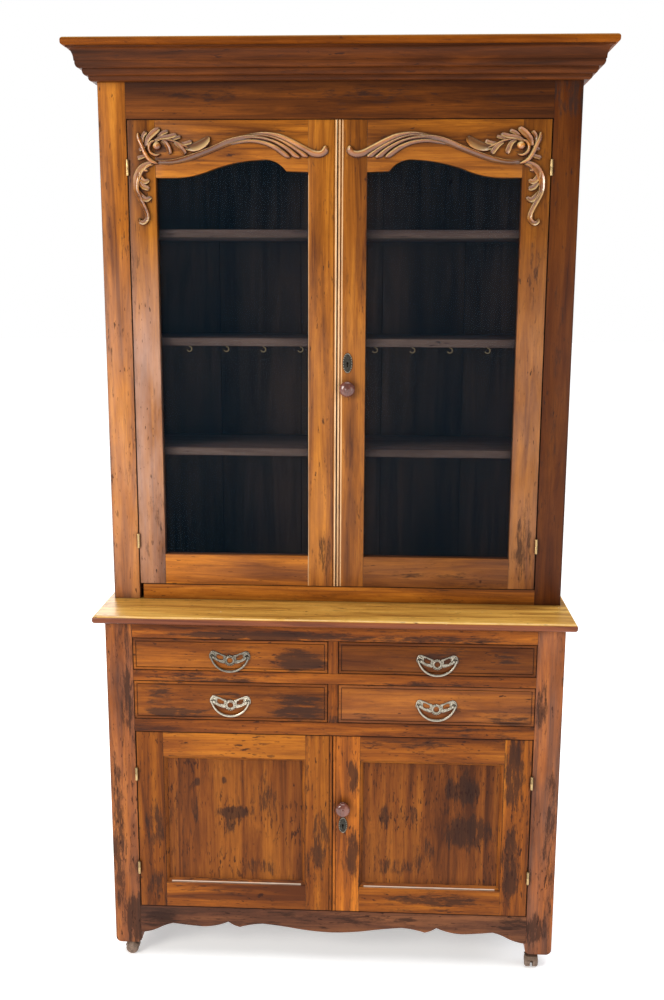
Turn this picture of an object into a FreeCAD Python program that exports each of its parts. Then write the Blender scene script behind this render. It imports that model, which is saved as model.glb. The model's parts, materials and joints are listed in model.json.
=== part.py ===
import FreeCAD, Part
import math
import os

os.makedirs("parts", exist_ok=True)
V = FreeCAD.Vector

# Lengths are in millimetres. +X is to the right of someone facing the doors, -Y is the front and
# +Z is up. The origin is on the floor, under the middle of the whole cupboard. "Left" and "right"
# are those of someone facing the doors.

# The two cases
lower_width = 1100.0
lower_depth = 420.0
upper_width = 1106.0
upper_depth = 302.0
caster_height = 38.0

# Front of the lower case, from the feet up
foot_to_sill = 103.0
lower_door_opening = 469.0
door_head_height = 33.0
lower_drawer_opening = 98.0
divider_height = 27.0
upper_drawer_opening = 81.0
counter_rail_height = 44.0

# Lower case framing
post_width = 65.0
post_depth = 45.0
foot_round = 14.0
foot_chamfer_wide = 9.0
foot_chamfer_high = 6.0
rail_thickness = 22.0
muntin_width = 24.0
tenon_length = 20.0
tenon_thickness = 8.0
tenon_shoulder = 6.0
side_panel_thickness = 18.0
side_panel_inset = 8.0
side_panel_tongue = 6.0
side_panel_drop = 34.0
floor_thickness = 18.0
back_board_thickness = 12.0
back_board_count = 5
back_board_gap = 1.5
back_board_lap = 8.0

# Scalloped apron. Each scallop ends at a share of the way from the middle to the post, at a height
# above the feet, and its curve bulges up by the third value.
apron_thickness = 20.0
apron_centre_height = 43.5
apron_scallops = (
    (0.175, 50.5, -1.5),
    (0.36, 62.0, 1.0),
    (0.48, 51.0, 2.0),
    (0.54, 64.5, -2.0),
    (0.676, 49.5, -3.7),
    (0.83, 56.5, -0.6),
    (0.9, 43.5, 1.5),
    (1.0, 29.0, -3.0))

# Counter
counter_thickness = 20.0
counter_front_overhang = 38.0
counter_side_overhang = 21.0
counter_round = 8.0

# Front of the upper case, from the counter up
upper_bottom_rail_height = 38.0
upper_door_opening = 1106.0
frieze_show = 81.0
cornice_height = 69.0
cornice_board_thickness = 18.0
cornice_board_overhang = 65.0
cornice_board_round = 7.0

# Cornice moulding from the bottom up. An ovolo runs out and up, and a fillet and a step follow it.
cornice_foot = 9.0
cornice_ovolos = ((7.0, 7.0, 3.0), (8.0, 10.0, 5.0), (8.0, 11.0, 1.5))
cornice_fillet = 4.0
cornice_cove_out = 14.5
cornice_cove_fillet = 3.0

# Upper case framing
upper_stile_width = 64.0
upper_stile_thickness = 22.0
bottom_rail_shortfall = 9.0
side_board_thickness = 22.0
case_board_thickness = 20.0
shelf_thickness = 18.0
shelf_tops = (339.0, 606.0, 861.0)
shelf_setback = 13.0
cleat_height = 18.0
cleat_width = 14.0
cleat_end_gap = 20.0

# Cup hooks under the middle shelf
hook_count = 9
hook_pitch = 90.0
hook_setback = 9.0
hook_wire_half = 1.2
hook_ring = 6.0
hook_sweep = 250.0
hook_facets = 6
hook_collar_radius = 4.0
hook_collar_thickness = 1.2
hook_shank = 8.0

# Doors
door_thickness = 22.0
hinge_gap = 2.4
meeting_gap = 2.0
door_top_gap = 1.5
door_tenon_length = 35.0
door_tenon_inset = 14.0
quirk_width = 2.0
quirk_from_edge = 6.0

# Glazed doors. The arch is measured down from the door's top and in from the meeting stile. Each of its
# three curves passes a point that lies at a share of its run and a share of its rise.
hinge_stile_width = 64.0
meeting_stile_width = 67.0
upper_door_bottom_rail = 76.0
arch_end_drop = 128.5
arch_sweep_drop = 109.5
arch_crest_drop = 87.5
arch_notch_drop = 113.5
arch_flat_drop = 115.5
arch_end_run = 30.0
arch_sweep_in = 222.0
arch_crest_in = 97.0
arch_notch_in = 51.0
arch_hollow = (0.55, 0.25)
arch_swell = (0.5, 0.74)
arch_fall = (0.62, 0.36)
glass_thickness = 3.0
glass_seat = 12.0
glass_rebate = 8.0
glass_edge_gap = 0.5
glass_face_gap = 0.2

# Panelled doors
panel_stile_width = 66.0
panel_top_rail = 63.0
panel_bottom_rail = 67.0
panel_thickness = 8.0
panel_recess = 10.0
panel_tongue = 8.0
panel_moulding_width = 8.0
panel_moulding_flat = 1.2
panel_moulding_recess = 2.0

# Carving on the head of the left glazed door: for each rib its route, as (in from the hinge edge, down
# from the top), its half widths at start, middle and end, its height and the share of its width that is
# flat on top. The ball's profile is in shares of its radius, as (radius, rise).
carved_ribs = (
    (((64, 92), (94, 94), (128, 89), (166, 77), (203, 63), (236, 49), (268, 38), (300, 33), (326, 32),
      (354, 37), (380, 47), (406, 60), (430, 73), (448, 75), (457, 64)), (5, 7, 5), 10, 0.5),
    (((240, 52), (275, 43), (308, 41), (338, 47), (362, 59), (383, 73), (397, 83)), (4, 6, 6), 9, 0.0),
    (((222, 64), (244, 56), (272, 49), (299, 49), (325, 54), (345, 63), (372, 82)), (3, 6, 6), 8, 0.0),
    (((330, 36), (352, 42), (375, 52), (416, 80)), (3, 5, 5), 9, 0.0),
    (((26, 32), (30, 50), (39, 69), (52, 89), (68, 98)), (3, 4, 5), 9, 0.5),
    (((50, 70), (49, 54), (60, 45), (86, 42), (115, 50), (146, 62), (172, 64)), (4, 8, 4), 7, 0.5),
    (((37, 52), (39, 37), (47, 24)), (4, 6, 2), 9, 0.0),
    (((46, 52), (54, 39), (77, 18)), (4, 7, 2), 11, 0.0),
    (((63, 46), (86, 39), (118, 33)), (4, 7, 2), 10, 0.0),
    (((80, 43), (92, 54), (100, 76)), (4, 6, 2), 10, 0.0),
    (((108, 49), (124, 60), (135, 76)), (4, 6, 2), 10, 0.0),
    (((118, 49), (136, 52), (152, 49)), (4, 5, 2), 9, 0.0),
    (((128, 60), (150, 67), (170, 65), (184, 58), (191, 49), (192, 39)), (4, 7, 3), 11, 0.0),
    (((56, 97), (40, 99), (25, 108), (17, 125), (15, 144), (20, 162), (36, 194), (41, 211), (39, 222),
      (29, 227)), (4, 6, 4), 9, 0.5),
    (((26, 117), (32, 133), (49, 134)), (4, 7, 2), 10, 0.0),
    (((20, 160), (32, 173), (51, 177)), (4, 7, 2), 10, 0.0))
eye_at = (69.0, 58.0)
eye_radius = 10.5
eye_facets = 8
eye_profile = ((1.0, 0.0), (0.8, 0.6), (0.3, 1.0))

# Butt hinges
hinge_leaf_thickness = 1.0
hinge_leaf_width = 18.0
hinge_knuckle_radius = 3.2
hinge_pin_radius = 1.5
hinge_pin_clearance = 0.06
hinge_pin_forward = 3.5
hinge_knuckle_gap = 0.2
hinge_cap = 2.0
upper_hinge_length = 36.0
lower_hinge_length = 33.0
upper_hinge_from_top = 107.5
upper_hinge_from_bottom = 110.5
lower_hinge_from_top = 110.5
lower_hinge_from_bottom = 107.5

# Knobs, locks and bolts. A knob's head is drawn as (in from its radius, out from the door).
lock_centre_in = 25.0
upper_lock_height = 549.5
upper_knob_below_lock = 60.5
lower_lock_height = 233.5
lower_knob_above_lock = 49.0
upper_knob_radius = 19.0
lower_knob_radius = 18.0
knob_facets = 16
knob_rose_radius = 12.0
knob_neck_radius = 7.0
knob_button_radius = 5.0
knob_rose_thickness = 3.0
knob_neck_at = 8.5
knob_projection = 30.0
knob_head = ((4.5, 13.0), (1.2, 16.0), (0.0, 20.0), (1.8, 24.0), (6.0, 27.6))
knob_tenon_radius = 5.0
knob_tenon_length = 16.0
upper_escutcheon_half = (11.5, 23.5)
lower_escutcheon_half = (10.5, 20.5)
escutcheon_thickness = 1.6
escutcheon_facets = 20
keyhole_radius = 2.6
keyhole_slot_width = 2.4
keyhole_slot_drop = 9.0
lock_width = 44.0
lock_height = 56.0
lock_depth = 10.0
lock_back_wall = 2.0
lock_bolt_thickness = 5.0
lock_bolt_height = 16.0
lock_bolt_length = 32.0
lock_bolt_travel = 9.0
lock_bolt_gap = 0.3
mortise_gap = 0.8
flush_bolt_half = 3.0
flush_bolt_length = 90.0
flush_bolt_in = 16.0
flush_bolt_travel = 12.0
flush_bolt_gap = 0.1
flush_bolt_recess = 0.6
flush_bolt_tab_half = 2.2
flush_bolt_tab_drop = 60.0
flush_bolt_tab_proud = 5.0

# Drawers
drawer_front_thickness = 20.0
drawer_side_gap = 1.5
drawer_edge_gap = 1.2
drawer_running_gap = 0.2
drawer_side_thickness = 12.0
drawer_side_drop = 6.0
drawer_bottom_thickness = 6.0
drawer_bottom_lift = 6.0
drawer_back_drop = 4.0
drawer_length = 381.0
drawer_edge_round = 1.5
runner_height = 20.0
runner_width = 25.0
guide_height = 20.0
guide_gap = 1.0
kicker_gap = 2.0

# Drawer pulls, measured from the centre of the ring. The right hand wing is drawn, as (out, up).
pull_in = 249.0
upper_pull_height = 28.5
lower_pull_height = 40.0
pull_plate_thickness = 2.0
pull_ring_outer = 14.0
pull_ring_inner = 7.0
pull_ring_facets = 14
pull_wing = ((8.0, 10.0), (33.0, 22.0), (39.5, 24.0), (45.0, 22.0), (48.5, 16.5), (49.8, 9.5), (48.5, 4.5),
             (44.5, 1.5), (37.0, 1.0), (26.0, -4.5), (12.0, -7.0))
pull_window = ((17.5, 2.0), (28.0, 5.0), (26.0, 14.0), (15.5, 9.5))
pull_eye_out = 45.5
pull_eye_up = 9.0
pull_ear_half = 3.0
pull_ear_width = 5.0
pull_ear_gap = 4.2
bail_drop = 36.0
bail_end_width = 3.6
bail_middle_width = 5.6
bail_thickness = 3.6
bail_lap = 2.4
bail_facets = 10
bail_pin_radius = 1.4
bail_pin_clearance = 0.08

# Casters. A wheel's outer edge is drawn as (in from its radius, in from its outer face).
caster_in_from_post_face = 17.0
caster_trail = 10.0
wheel_radius = 15.5
wheel_facets = 18
wheel_width = 13.0
wheel_gap = 0.5
wheel_crown = ((3.0, 0.0), (0.0, 3.0))
axle_radius = 2.5
axle_clearance = 0.08
caster_web = 6.0
caster_web_wall = 2.5
hood_clearance = 1.0
hood_thickness = 2.0
hood_width = 31.0
hood_lift = 25.0
hood_facets = 8
collar_facets = 10
caster_collar_radius = 9.0
stem_radius = 4.0
stem_length = 28.0
stem_clearance = 0.08
socket_wall = 2.5
socket_flange_radius = 14.0
socket_flange_thickness = 2.0
swivel_gap = 0.3

# Round pins and bores are drawn with this many flats. A cutter runs past the face that it cuts.
pin_facets = 10
cut_past = 1.0

# Places worked out from the sizes above
y_back = (lower_depth + counter_front_overhang) / 2
y_lower = y_back - lower_depth
y_upper = y_back - upper_depth
y_back_boards = y_back - back_board_thickness
x_lower = lower_width / 2
x_post = x_lower - post_width
x_upper = upper_width / 2
x_upper_opening = x_upper - upper_stile_width
x_upper_inside = x_upper - side_board_thickness
x_panel_out = x_lower - side_panel_inset
x_panel_in = x_panel_out - side_panel_thickness
y_post_back = y_lower + post_depth
y_rear_post = y_back - post_depth

z_foot = caster_height
z_sill = z_foot + foot_to_sill
z_door_head = z_sill + lower_door_opening
z_lower_drawer = z_door_head + door_head_height
z_divider = z_lower_drawer + lower_drawer_opening
z_upper_drawer = z_divider + divider_height
z_counter_rail = z_upper_drawer + upper_drawer_opening
z_counter = z_counter_rail + counter_rail_height
z_counter_top = z_counter + counter_thickness
z_upper_floor = z_counter_top + upper_bottom_rail_height
z_frieze = z_upper_floor + upper_door_opening
z_cornice = z_frieze + frieze_show
z_cornice_board = z_cornice + cornice_height
z_top = z_cornice_board + cornice_board_thickness


def box(x0, x1, y0, y1, z0, z1):
    return Part.makeBox(x1 - x0, y1 - y0, z1 - z0, V(x0, y0, z0))


def arc_points(radius, start, end, steps, centre=(0.0, 0.0)):
    """Points along an arc between two angles in degrees."""
    x, z = centre
    turns = [math.radians(start + (end - start) * i / steps) for i in range(steps + 1)]
    return [(x + radius * math.cos(turn), z + radius * math.sin(turn)) for turn in turns]


def ring_of_points(sides, radius):
    """Corners of a regular outline whose flats lie at the radius, one flat at the bottom."""
    half = 180.0 / sides
    return arc_points(radius / math.cos(math.radians(half)), half - 90.0, 270.0 - half, sides - 1)


def turned(profile, sides):
    """Solid turned about Z from (radius, height) points. It is drawn with flats, which keeps a small
    piece light."""
    rings = [[V(x, y, up) for x, y in ring_of_points(sides, radius)] for radius, up in profile]
    loops = [rings[0], rings[-1]]
    for low, high in zip(rings, rings[1:]):
        loops += [[low[i - 1], low[i], high[i], high[i - 1]] for i in range(sides)]
    return closed_solid([Part.Face(Part.makePolygon(loop + loop[:1])) for loop in loops])


def closed_solid(faces):
    solid = Part.makeSolid(Part.makeShell(faces))
    if solid.Volume < 0:
        solid.reverse()
    return solid


def prism(sides, radius, x, y, z0, z1):
    """Upright bar with a regular section."""
    bar = turned([(radius, z0), (radius, z1)], sides)
    bar.translate(V(x, y, 0))
    return bar


def bore(radius, start, end):
    """Round hole or bar between two points, drawn with flats that lie at the radius."""
    bar = turned([(radius, 0.0), (radius, (end - start).Length)], pin_facets)
    bar.Placement = FreeCAD.Placement(start, FreeCAD.Rotation(V(0, 0, 1), end - start))
    return bar


def pin(radius, start, end):
    """Round pin with its corners on the radius, so that it turns freely between a bore's flats."""
    return bore(radius * math.cos(math.pi / pin_facets), start, end)


def mirrored(shape):
    return shape.mirror(V(0, 0, 0), V(1, 0, 0))


def pair(shape):
    return [shape, mirrored(shape)]


def cut_for(shape, others):
    for other in others:
        shape = shape.cut(other)
    return shape


def front_outline(points):
    """Closed wire in the front plane. A point is (x, z); three-long entries are (via_x, via_z, end)."""
    edges = []
    start = points[0]
    for entry in list(points[1:]) + [points[0]]:
        if len(entry) == 3:
            end = entry[2]
            arc = Part.Arc(V(start[0], 0, start[1]), V(entry[0], 0, entry[1]), V(end[0], 0, end[1]))
            edges.append(arc.toShape())
            start = end
        elif entry != start:
            edges.append(Part.makeLine(V(start[0], 0, start[1]), V(entry[0], 0, entry[1])))
            start = entry
    return Part.Wire(edges)


def slab(outline, y0, y1):
    """Solid between two depths whose front view is the given wire."""
    face = Part.Face(outline)
    face.translate(V(0, y0, 0))
    return face.extrude(V(0, y1 - y0, 0))


def write(node, shapes):
    solids = [solid for shape in shapes for solid in shape.Solids]
    for solid in solids:
        if not solid.isValid() or solid.Volume <= 0:
            print("check", node, solid.isValid(), solid.Volume)
    Part.makeCompound(solids).exportStep(os.path.join("parts", node + ".step"))


def tenoned(x0, x1, y0, thickness, z0, z1, left=True, right=True):
    """A rail between two uprights, with a stub tenon at each end that has one."""
    rail = box(x0, x1, y0, y0 + thickness, z0, z1)
    ty = y0 + (thickness - tenon_thickness) / 2
    tenon_z = (z0 + tenon_shoulder, z1 - tenon_shoulder)
    if left:
        rail = rail.fuse(box(x0 - tenon_length, x0, ty, ty + tenon_thickness, *tenon_z))
    if right:
        rail = rail.fuse(box(x1, x1 + tenon_length, ty, ty + tenon_thickness, *tenon_z))
    return rail.removeSplitter()


# Lower case

def post(y0, y1):
    """Right hand post; its foot is rounded outside and chamfered inside."""
    turn = foot_round * (1 - math.sqrt(0.5))
    outline = front_outline([
        (x_post, z_counter),
        (x_lower, z_counter),
        (x_lower, z_foot + foot_round),
        (x_lower - turn, z_foot + turn, (x_lower - foot_round, z_foot)),
        (x_post + foot_chamfer_wide, z_foot),
        (x_post, z_foot + foot_chamfer_high)])
    return slab(outline, y0, y1)


def side_panel():
    return box(x_panel_in, x_panel_out, y_post_back - side_panel_tongue, y_rear_post + side_panel_tongue,
               z_sill - side_panel_drop, z_counter)


def front_rails():
    heights = [(z_counter_rail, z_counter), (z_divider, z_upper_drawer), (z_door_head, z_lower_drawer)]
    return [tenoned(-x_post, x_post, y_lower, rail_thickness, *z) for z in heights]


def muntins():
    """Short uprights between the two drawers of each row, stub tenoned into the rails."""
    ty = y_lower + (rail_thickness - tenon_thickness) / 2
    half = muntin_width / 2
    uprights = []
    for z0, z1 in [(z_lower_drawer, z_divider), (z_upper_drawer, z_counter_rail)]:
        body = box(-half, half, y_lower, y_lower + rail_thickness, z0, z1)
        tenon = box(-half + tenon_shoulder, half - tenon_shoulder, ty, ty + tenon_thickness,
                    z0 - tenon_shoulder, z1 + tenon_shoulder)
        uprights.append(body.fuse(tenon).removeSplitter())
    return uprights


def apron():
    """Valance under the sill, scalloped along its lower edge, with a tenon into each post."""
    half = [(0.0, apron_centre_height, 0.0)] + list(apron_scallops)
    left, right = [], []
    for (out0, up0, _), (out1, up1, bulge) in zip(half, half[1:]):
        middle = (x_post * (out0 + out1) / 2, z_foot + (up0 + up1) / 2 + bulge)
        right.append((middle[0], middle[1], (x_post * out1, z_foot + up1)))
        left.insert(0, (-middle[0], middle[1], (-x_post * out0, z_foot + up0)))
    z_toe = z_foot + apron_scallops[-1][1]
    outline = front_outline([(x_post, z_sill), (-x_post, z_sill), (-x_post, z_toe)] + left + right)
    board = slab(outline, y_lower, y_lower + apron_thickness)
    ty = y_lower + (apron_thickness - tenon_thickness) / 2
    z_solid = z_foot + max(up for _, up, _ in apron_scallops)
    tenons = box(-x_post - tenon_length, x_post + tenon_length, ty, ty + tenon_thickness,
                 z_solid + tenon_shoulder, z_sill - tenon_shoulder)
    return board.fuse(tenons).removeSplitter()


def back_boards(half_width, z0, z1):
    """Upright shiplapped boards: the rear half of each laps behind the next, past a shrinkage gap."""
    pitch = (2 * half_width + back_board_gap) / back_board_count
    y_lap = y_back - back_board_thickness / 2
    boards = []
    for i in range(back_board_count):
        x0 = -half_width + i * pitch
        x1 = x0 + pitch - back_board_gap
        x0_rear = x0 + (back_board_lap if i else 0.0)
        x1_rear = x1 + (back_board_lap if i < back_board_count - 1 else 0.0)
        front = box(x0, x1, y_back_boards, y_lap, z0, z1)
        boards.append(front.fuse(box(x0_rear, x1_rear, y_lap, y_back, z0, z1)).removeSplitter())
    return boards


def drawer_tracks():
    """Runners under both rows, guides beside the drawers and kickers above the top row."""
    y_rail_back = y_lower + rail_thickness
    x_in = x_post - runner_width
    half = muntin_width / 2
    track = []
    for z in (z_lower_drawer, z_upper_drawer):
        track += pair(box(x_in, x_panel_in, y_rail_back, y_rear_post, z - runner_height, z))
        track += pair(box(x_post - drawer_side_gap + guide_gap, x_panel_in, y_post_back, y_rear_post,
                          z, z + guide_height))
        track.append(box(-half - runner_width, half + runner_width, y_rail_back, y_back_boards,
                         z - runner_height, z))
        track.append(box(-half, half, y_rail_back, y_back_boards, z, z + guide_height))
    z_kicker = z_counter_rail - drawer_edge_gap - drawer_side_drop + kicker_gap
    track += pair(box(x_in, x_panel_in, y_post_back, y_rear_post, z_kicker, z_kicker + runner_height))
    track.append(box(-half, half, y_rail_back, y_back_boards, z_kicker, z_counter))
    return track


def nosing_edges(board):
    """Level edges along the front and both ends of a board that reaches the back."""
    level = [edge for edge in board.Edges if abs(edge.tangentAt(edge.FirstParameter).z) < 0.5]
    return [edge for edge in level if edge.CenterOfMass.y < y_back_boards]


def counter():
    x = x_lower + counter_side_overhang
    board = box(-x, x, y_lower - counter_front_overhang, y_back, z_counter, z_counter_top)
    return board.makeFillet(counter_round, nosing_edges(board))


# Upper case

def cornice_outline():
    """Section of the moulding, as (projection, height): three ovolos with fillets, and a cove."""
    turn = math.sqrt(0.5)
    out, up = cornice_foot, 0.0
    points = [(0.0, 0.0), (out, up)]
    for reach, rise, step in cornice_ovolos:
        points.append((out + turn * reach, up + (1 - turn) * rise, (out + reach, up + rise)))
        out, up = out + reach, up + rise + cornice_fillet
        points += [(out, up), (out + step, up)]
        out += step
    rise = cornice_height - cornice_cove_fillet - up
    end = (out + cornice_cove_out, up + rise)
    points.append((out + (1 - turn) * cornice_cove_out, up + turn * rise, end))
    return front_outline(points + [(end[0], cornice_height), (0.0, cornice_height)])


def cornice():
    """Front moulding and two returns, mitred at the corners and planted on the case, under a board."""
    face = Part.Face(cornice_outline())
    reach = cornice_board_overhang
    front = face.copy()
    front.rotate(V(0, 0, 0), V(0, 0, 1), -90)
    front.translate(V(-x_upper - reach, y_upper, z_cornice))
    front = front.extrude(V(2 * (x_upper + reach), 0, 0))
    side = face.copy()
    side.translate(V(x_upper, y_upper - reach, z_cornice))
    side = side.extrude(V(0, y_back - y_upper + reach, 0))

    def plan(points):
        loop = Part.makePolygon([V(x, y, z_cornice) for x, y in points + points[:1]])
        return Part.Face(loop).extrude(V(0, 0, cornice_height))

    corner = (x_upper + reach, y_upper - reach)
    front_plan = [(-x_upper, y_upper), (x_upper, y_upper), corner, (-corner[0], corner[1])]
    front = front.common(plan(front_plan))
    side = side.common(plan([(x_upper, y_upper), corner, (corner[0], y_back), (x_upper, y_back)]))
    board = box(-corner[0], corner[0], corner[1], y_back, z_cornice_board, z_top)
    return [front] + pair(side) + [board.makeFillet(cornice_board_round, nosing_edges(board))]


def upper_stile():
    y1 = y_upper + upper_stile_thickness
    return box(x_upper_opening, x_upper, y_upper, y1, z_counter_top, z_cornice_board)


def carcass_boards():
    """Sides, top board and floor board of the upper case, all behind its stiles."""
    y0 = y_upper + upper_stile_thickness
    side = box(x_upper_inside, x_upper, y0, y_back, z_counter_top, z_cornice_board)
    top = box(-x_upper_inside, x_upper_inside, y0, y_back_boards,
              z_cornice_board - case_board_thickness, z_cornice_board)
    floor = box(-x_upper_inside, x_upper_inside, y0, y_back_boards,
                z_upper_floor - case_board_thickness, z_upper_floor)
    return pair(side) + [top, floor]


def shelves():
    y0 = y_upper + door_thickness + shelf_setback
    return [box(-x_upper_inside, x_upper_inside, y0, y_back_boards,
                z_upper_floor + top - shelf_thickness, z_upper_floor + top) for top in shelf_tops]


def cleats():
    y0 = y_upper + door_thickness + shelf_setback + cleat_end_gap
    under = [z_upper_floor + top - shelf_thickness for top in shelf_tops]
    return [cleat for z in under
            for cleat in pair(box(x_upper_inside - cleat_width, x_upper_inside, y0, y_back_boards,
                                  z - cleat_height, z))]


def cup_hook(x):
    """Screw shank, little collar and an open ring of square wire, hung under the middle shelf."""
    z = z_upper_floor + shelf_tops[1] - shelf_thickness
    y = y_upper + door_thickness + shelf_setback + hook_setback
    z_ring = z - hook_collar_thickness - hook_wire_half - hook_ring
    inner, outer = [arc_points(radius, 90, 90 - hook_sweep, hook_facets, (x, z_ring))
                    for radius in (hook_ring - hook_wire_half, hook_ring + hook_wire_half)]
    ring = slab(front_outline(outer + inner[::-1]), y - hook_wire_half, y + hook_wire_half)
    z_shank = z_ring + hook_ring - hook_wire_half
    shank = prism(hook_facets, hook_wire_half, x, y, z_shank, z + hook_shank)
    collar = prism(hook_facets, hook_collar_radius, x, y, z - hook_collar_thickness, z)
    return shank.fuse([collar, ring]).removeSplitter()


def hook_places():
    return [(i - (hook_count - 1) / 2) * hook_pitch for i in range(hook_count)]


# Hinges. Each function makes those on the left, at a post's or stile's inner edge.

def hinge_axis(x_edge, y_face):
    return x_edge + hinge_gap / 2, y_face - hinge_pin_forward


def leaf_with_knuckle(x_edge, x_leaf, y_face, z0, length, knuckle_z0, knuckle_z1):
    """Flat leaf between door and case, with one knuckle of the barrel in front of them."""
    x, y = hinge_axis(x_edge, y_face)
    x_leaf_out = x_leaf + hinge_leaf_thickness
    leaf = box(x_leaf, x_leaf_out, y_face, y_face + hinge_leaf_width, z0, z0 + length)
    strap = box(x_leaf, x_leaf_out, y, y_face, knuckle_z0, knuckle_z1)
    knuckle = prism(pin_facets, hinge_knuckle_radius, x, y, knuckle_z0, knuckle_z1)
    return leaf.fuse([strap, knuckle])


def case_leaf(x_edge, y_face, z_mid, length):
    """The leaf screwed to the case, with the lower knuckle and the pin that stands in it."""
    x, y = hinge_axis(x_edge, y_face)
    z0 = z_mid - length / 2
    leaf = leaf_with_knuckle(x_edge, x_edge, y_face, z0, length, z0, z_mid - hinge_knuckle_gap / 2)
    stem = pin(hinge_pin_radius, V(x, y, z0), V(x, y, z0 + length - hinge_cap))
    return leaf.fuse(stem).removeSplitter()


def door_leaf(x_edge, y_face, z_mid, length):
    """The leaf screwed to the door, whose upper knuckle drops over the pin."""
    x, y = hinge_axis(x_edge, y_face)
    z0 = z_mid - length / 2
    x_leaf = x_edge + hinge_gap - hinge_leaf_thickness
    z_knuckle = z_mid + hinge_knuckle_gap / 2
    leaf = leaf_with_knuckle(x_edge, x_leaf, y_face, z0, length, z_knuckle, z0 + length)
    room = bore(hinge_pin_radius + hinge_pin_clearance, V(x, y, z_mid),
                V(x, y, z0 + length - hinge_cap + hinge_knuckle_gap))
    return leaf.cut(room).removeSplitter()


upper_hinge_places = [z_frieze - upper_hinge_from_top, z_upper_floor + upper_hinge_from_bottom]
lower_hinge_places = [z_door_head - lower_hinge_from_top, z_sill + lower_hinge_from_bottom]


def leaves(make):
    """Leaves of the left upper and left lower door, made by case_leaf or door_leaf."""
    upper = [make(-x_upper_opening, y_upper, z, upper_hinge_length) for z in upper_hinge_places]
    lower = [make(-x_post, y_lower, z, lower_hinge_length) for z in lower_hinge_places]
    return upper, lower


# Doors. The left hand ones are drawn; the right hand ones are their mirror images.

class DoorPlace:
    def __init__(self, half_opening, y_face, z0, z1):
        self.x0 = -half_opening + hinge_gap
        self.x1 = -meeting_gap / 2
        self.y0 = y_face
        self.y1 = y_face + door_thickness
        self.z0 = z0 + door_top_gap
        self.z1 = z1 - door_top_gap


upper_door = DoorPlace(x_upper_opening, y_upper, z_upper_floor, z_frieze)
lower_door = DoorPlace(x_post, y_lower, z_sill, z_door_head)


def door_rail(door, xa, xb, z0, z1, tenon_z0, tenon_z1):
    """Rail between two door stiles with a tenon into each."""
    ty = door.y0 + (door_thickness - tenon_thickness) / 2
    rail = box(xa, xb, door.y0, door.y1, z0, z1)
    tenon = box(xa - door_tenon_length, xb + door_tenon_length, ty, ty + tenon_thickness,
                tenon_z0, tenon_z1)
    return rail.fuse(tenon).removeSplitter()


def quirk(door):
    """Groove that leaves a bead along the meeting edge."""
    x = door.x1 - quirk_from_edge
    return box(x - quirk_width, x, door.y0 - cut_past, door.y0 + quirk_width,
               door.z0 - cut_past, door.z1 + cut_past)


def glazed_outline(grow=0.0):
    """Light of the left glazed door: straight sides and sill, ogee head with a notch at the meeting end.
    It is grown for the rebate that the glass lies in."""
    door = upper_door
    xa = door.x0 + hinge_stile_width
    xb = door.x1 - meeting_stile_width
    z_head = door.z1 + grow
    sweep = (xb - arch_sweep_in, z_head - arch_sweep_drop)
    crest = (xb - arch_crest_in, z_head - arch_crest_drop)
    notch = (xb - arch_notch_in + grow / 2, z_head - arch_notch_drop)
    end = (xa + arch_end_run, z_head - arch_end_drop)

    def curve(end, start, shares):
        """Arc entry back to the end, by way of the point at those shares of the way to its start."""
        return (end[0] + shares[0] * (start[0] - end[0]), end[1] + shares[1] * (start[1] - end[1]), end)

    return front_outline([
        (xa - grow, door.z0 + upper_door_bottom_rail - grow),
        (xb + grow, door.z0 + upper_door_bottom_rail - grow),
        (xb + grow, z_head - arch_flat_drop),
        notch,
        curve(crest, notch, arch_fall),
        curve(sweep, crest, arch_swell),
        curve(end, sweep, arch_hollow),
        (xa - grow, z_head - arch_end_drop)])


def upper_frame():
    """Two stiles, bottom rail and arched top rail of the left glazed door, with the glazing stop."""
    door = upper_door
    xa = door.x0 + hinge_stile_width
    xb = door.x1 - meeting_stile_width
    opening = slab(glazed_outline(), door.y0 - cut_past, door.y1 + cut_past)
    rebate = slab(glazed_outline(glass_rebate), door.y0 + glass_seat, door.y1 + cut_past)
    z_sill_rail = door.z0 + upper_door_bottom_rail
    bottom = door_rail(door, xa, xb, door.z0, z_sill_rail, door.z0 + door_tenon_inset,
                       z_sill_rail - door_tenon_inset)
    top = door_rail(door, xa, xb, door.z1 - arch_end_drop, door.z1,
                    door.z1 - arch_crest_drop + door_tenon_inset, door.z1 - door_tenon_inset)
    top = top.cut(opening).cut(rebate)
    bottom = bottom.cut(rebate)
    stiles = [box(door.x0, xa, door.y0, door.y1, door.z0, door.z1),
              box(xb, door.x1, door.y0, door.y1, door.z0, door.z1).cut(quirk(door))]
    stiles = [cut_for(stile, [rebate, top, bottom]) for stile in stiles]
    y_stop = door.y0 + glass_seat + glass_thickness + 2 * glass_face_gap
    stop = slab(glazed_outline(glass_rebate), y_stop, door.y1).cut(opening)
    return stiles, [top, bottom, stop]


def glass():
    y0 = upper_door.y0 + glass_seat + glass_face_gap
    return slab(glazed_outline(glass_rebate - glass_edge_gap), y0, y0 + glass_thickness)


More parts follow.
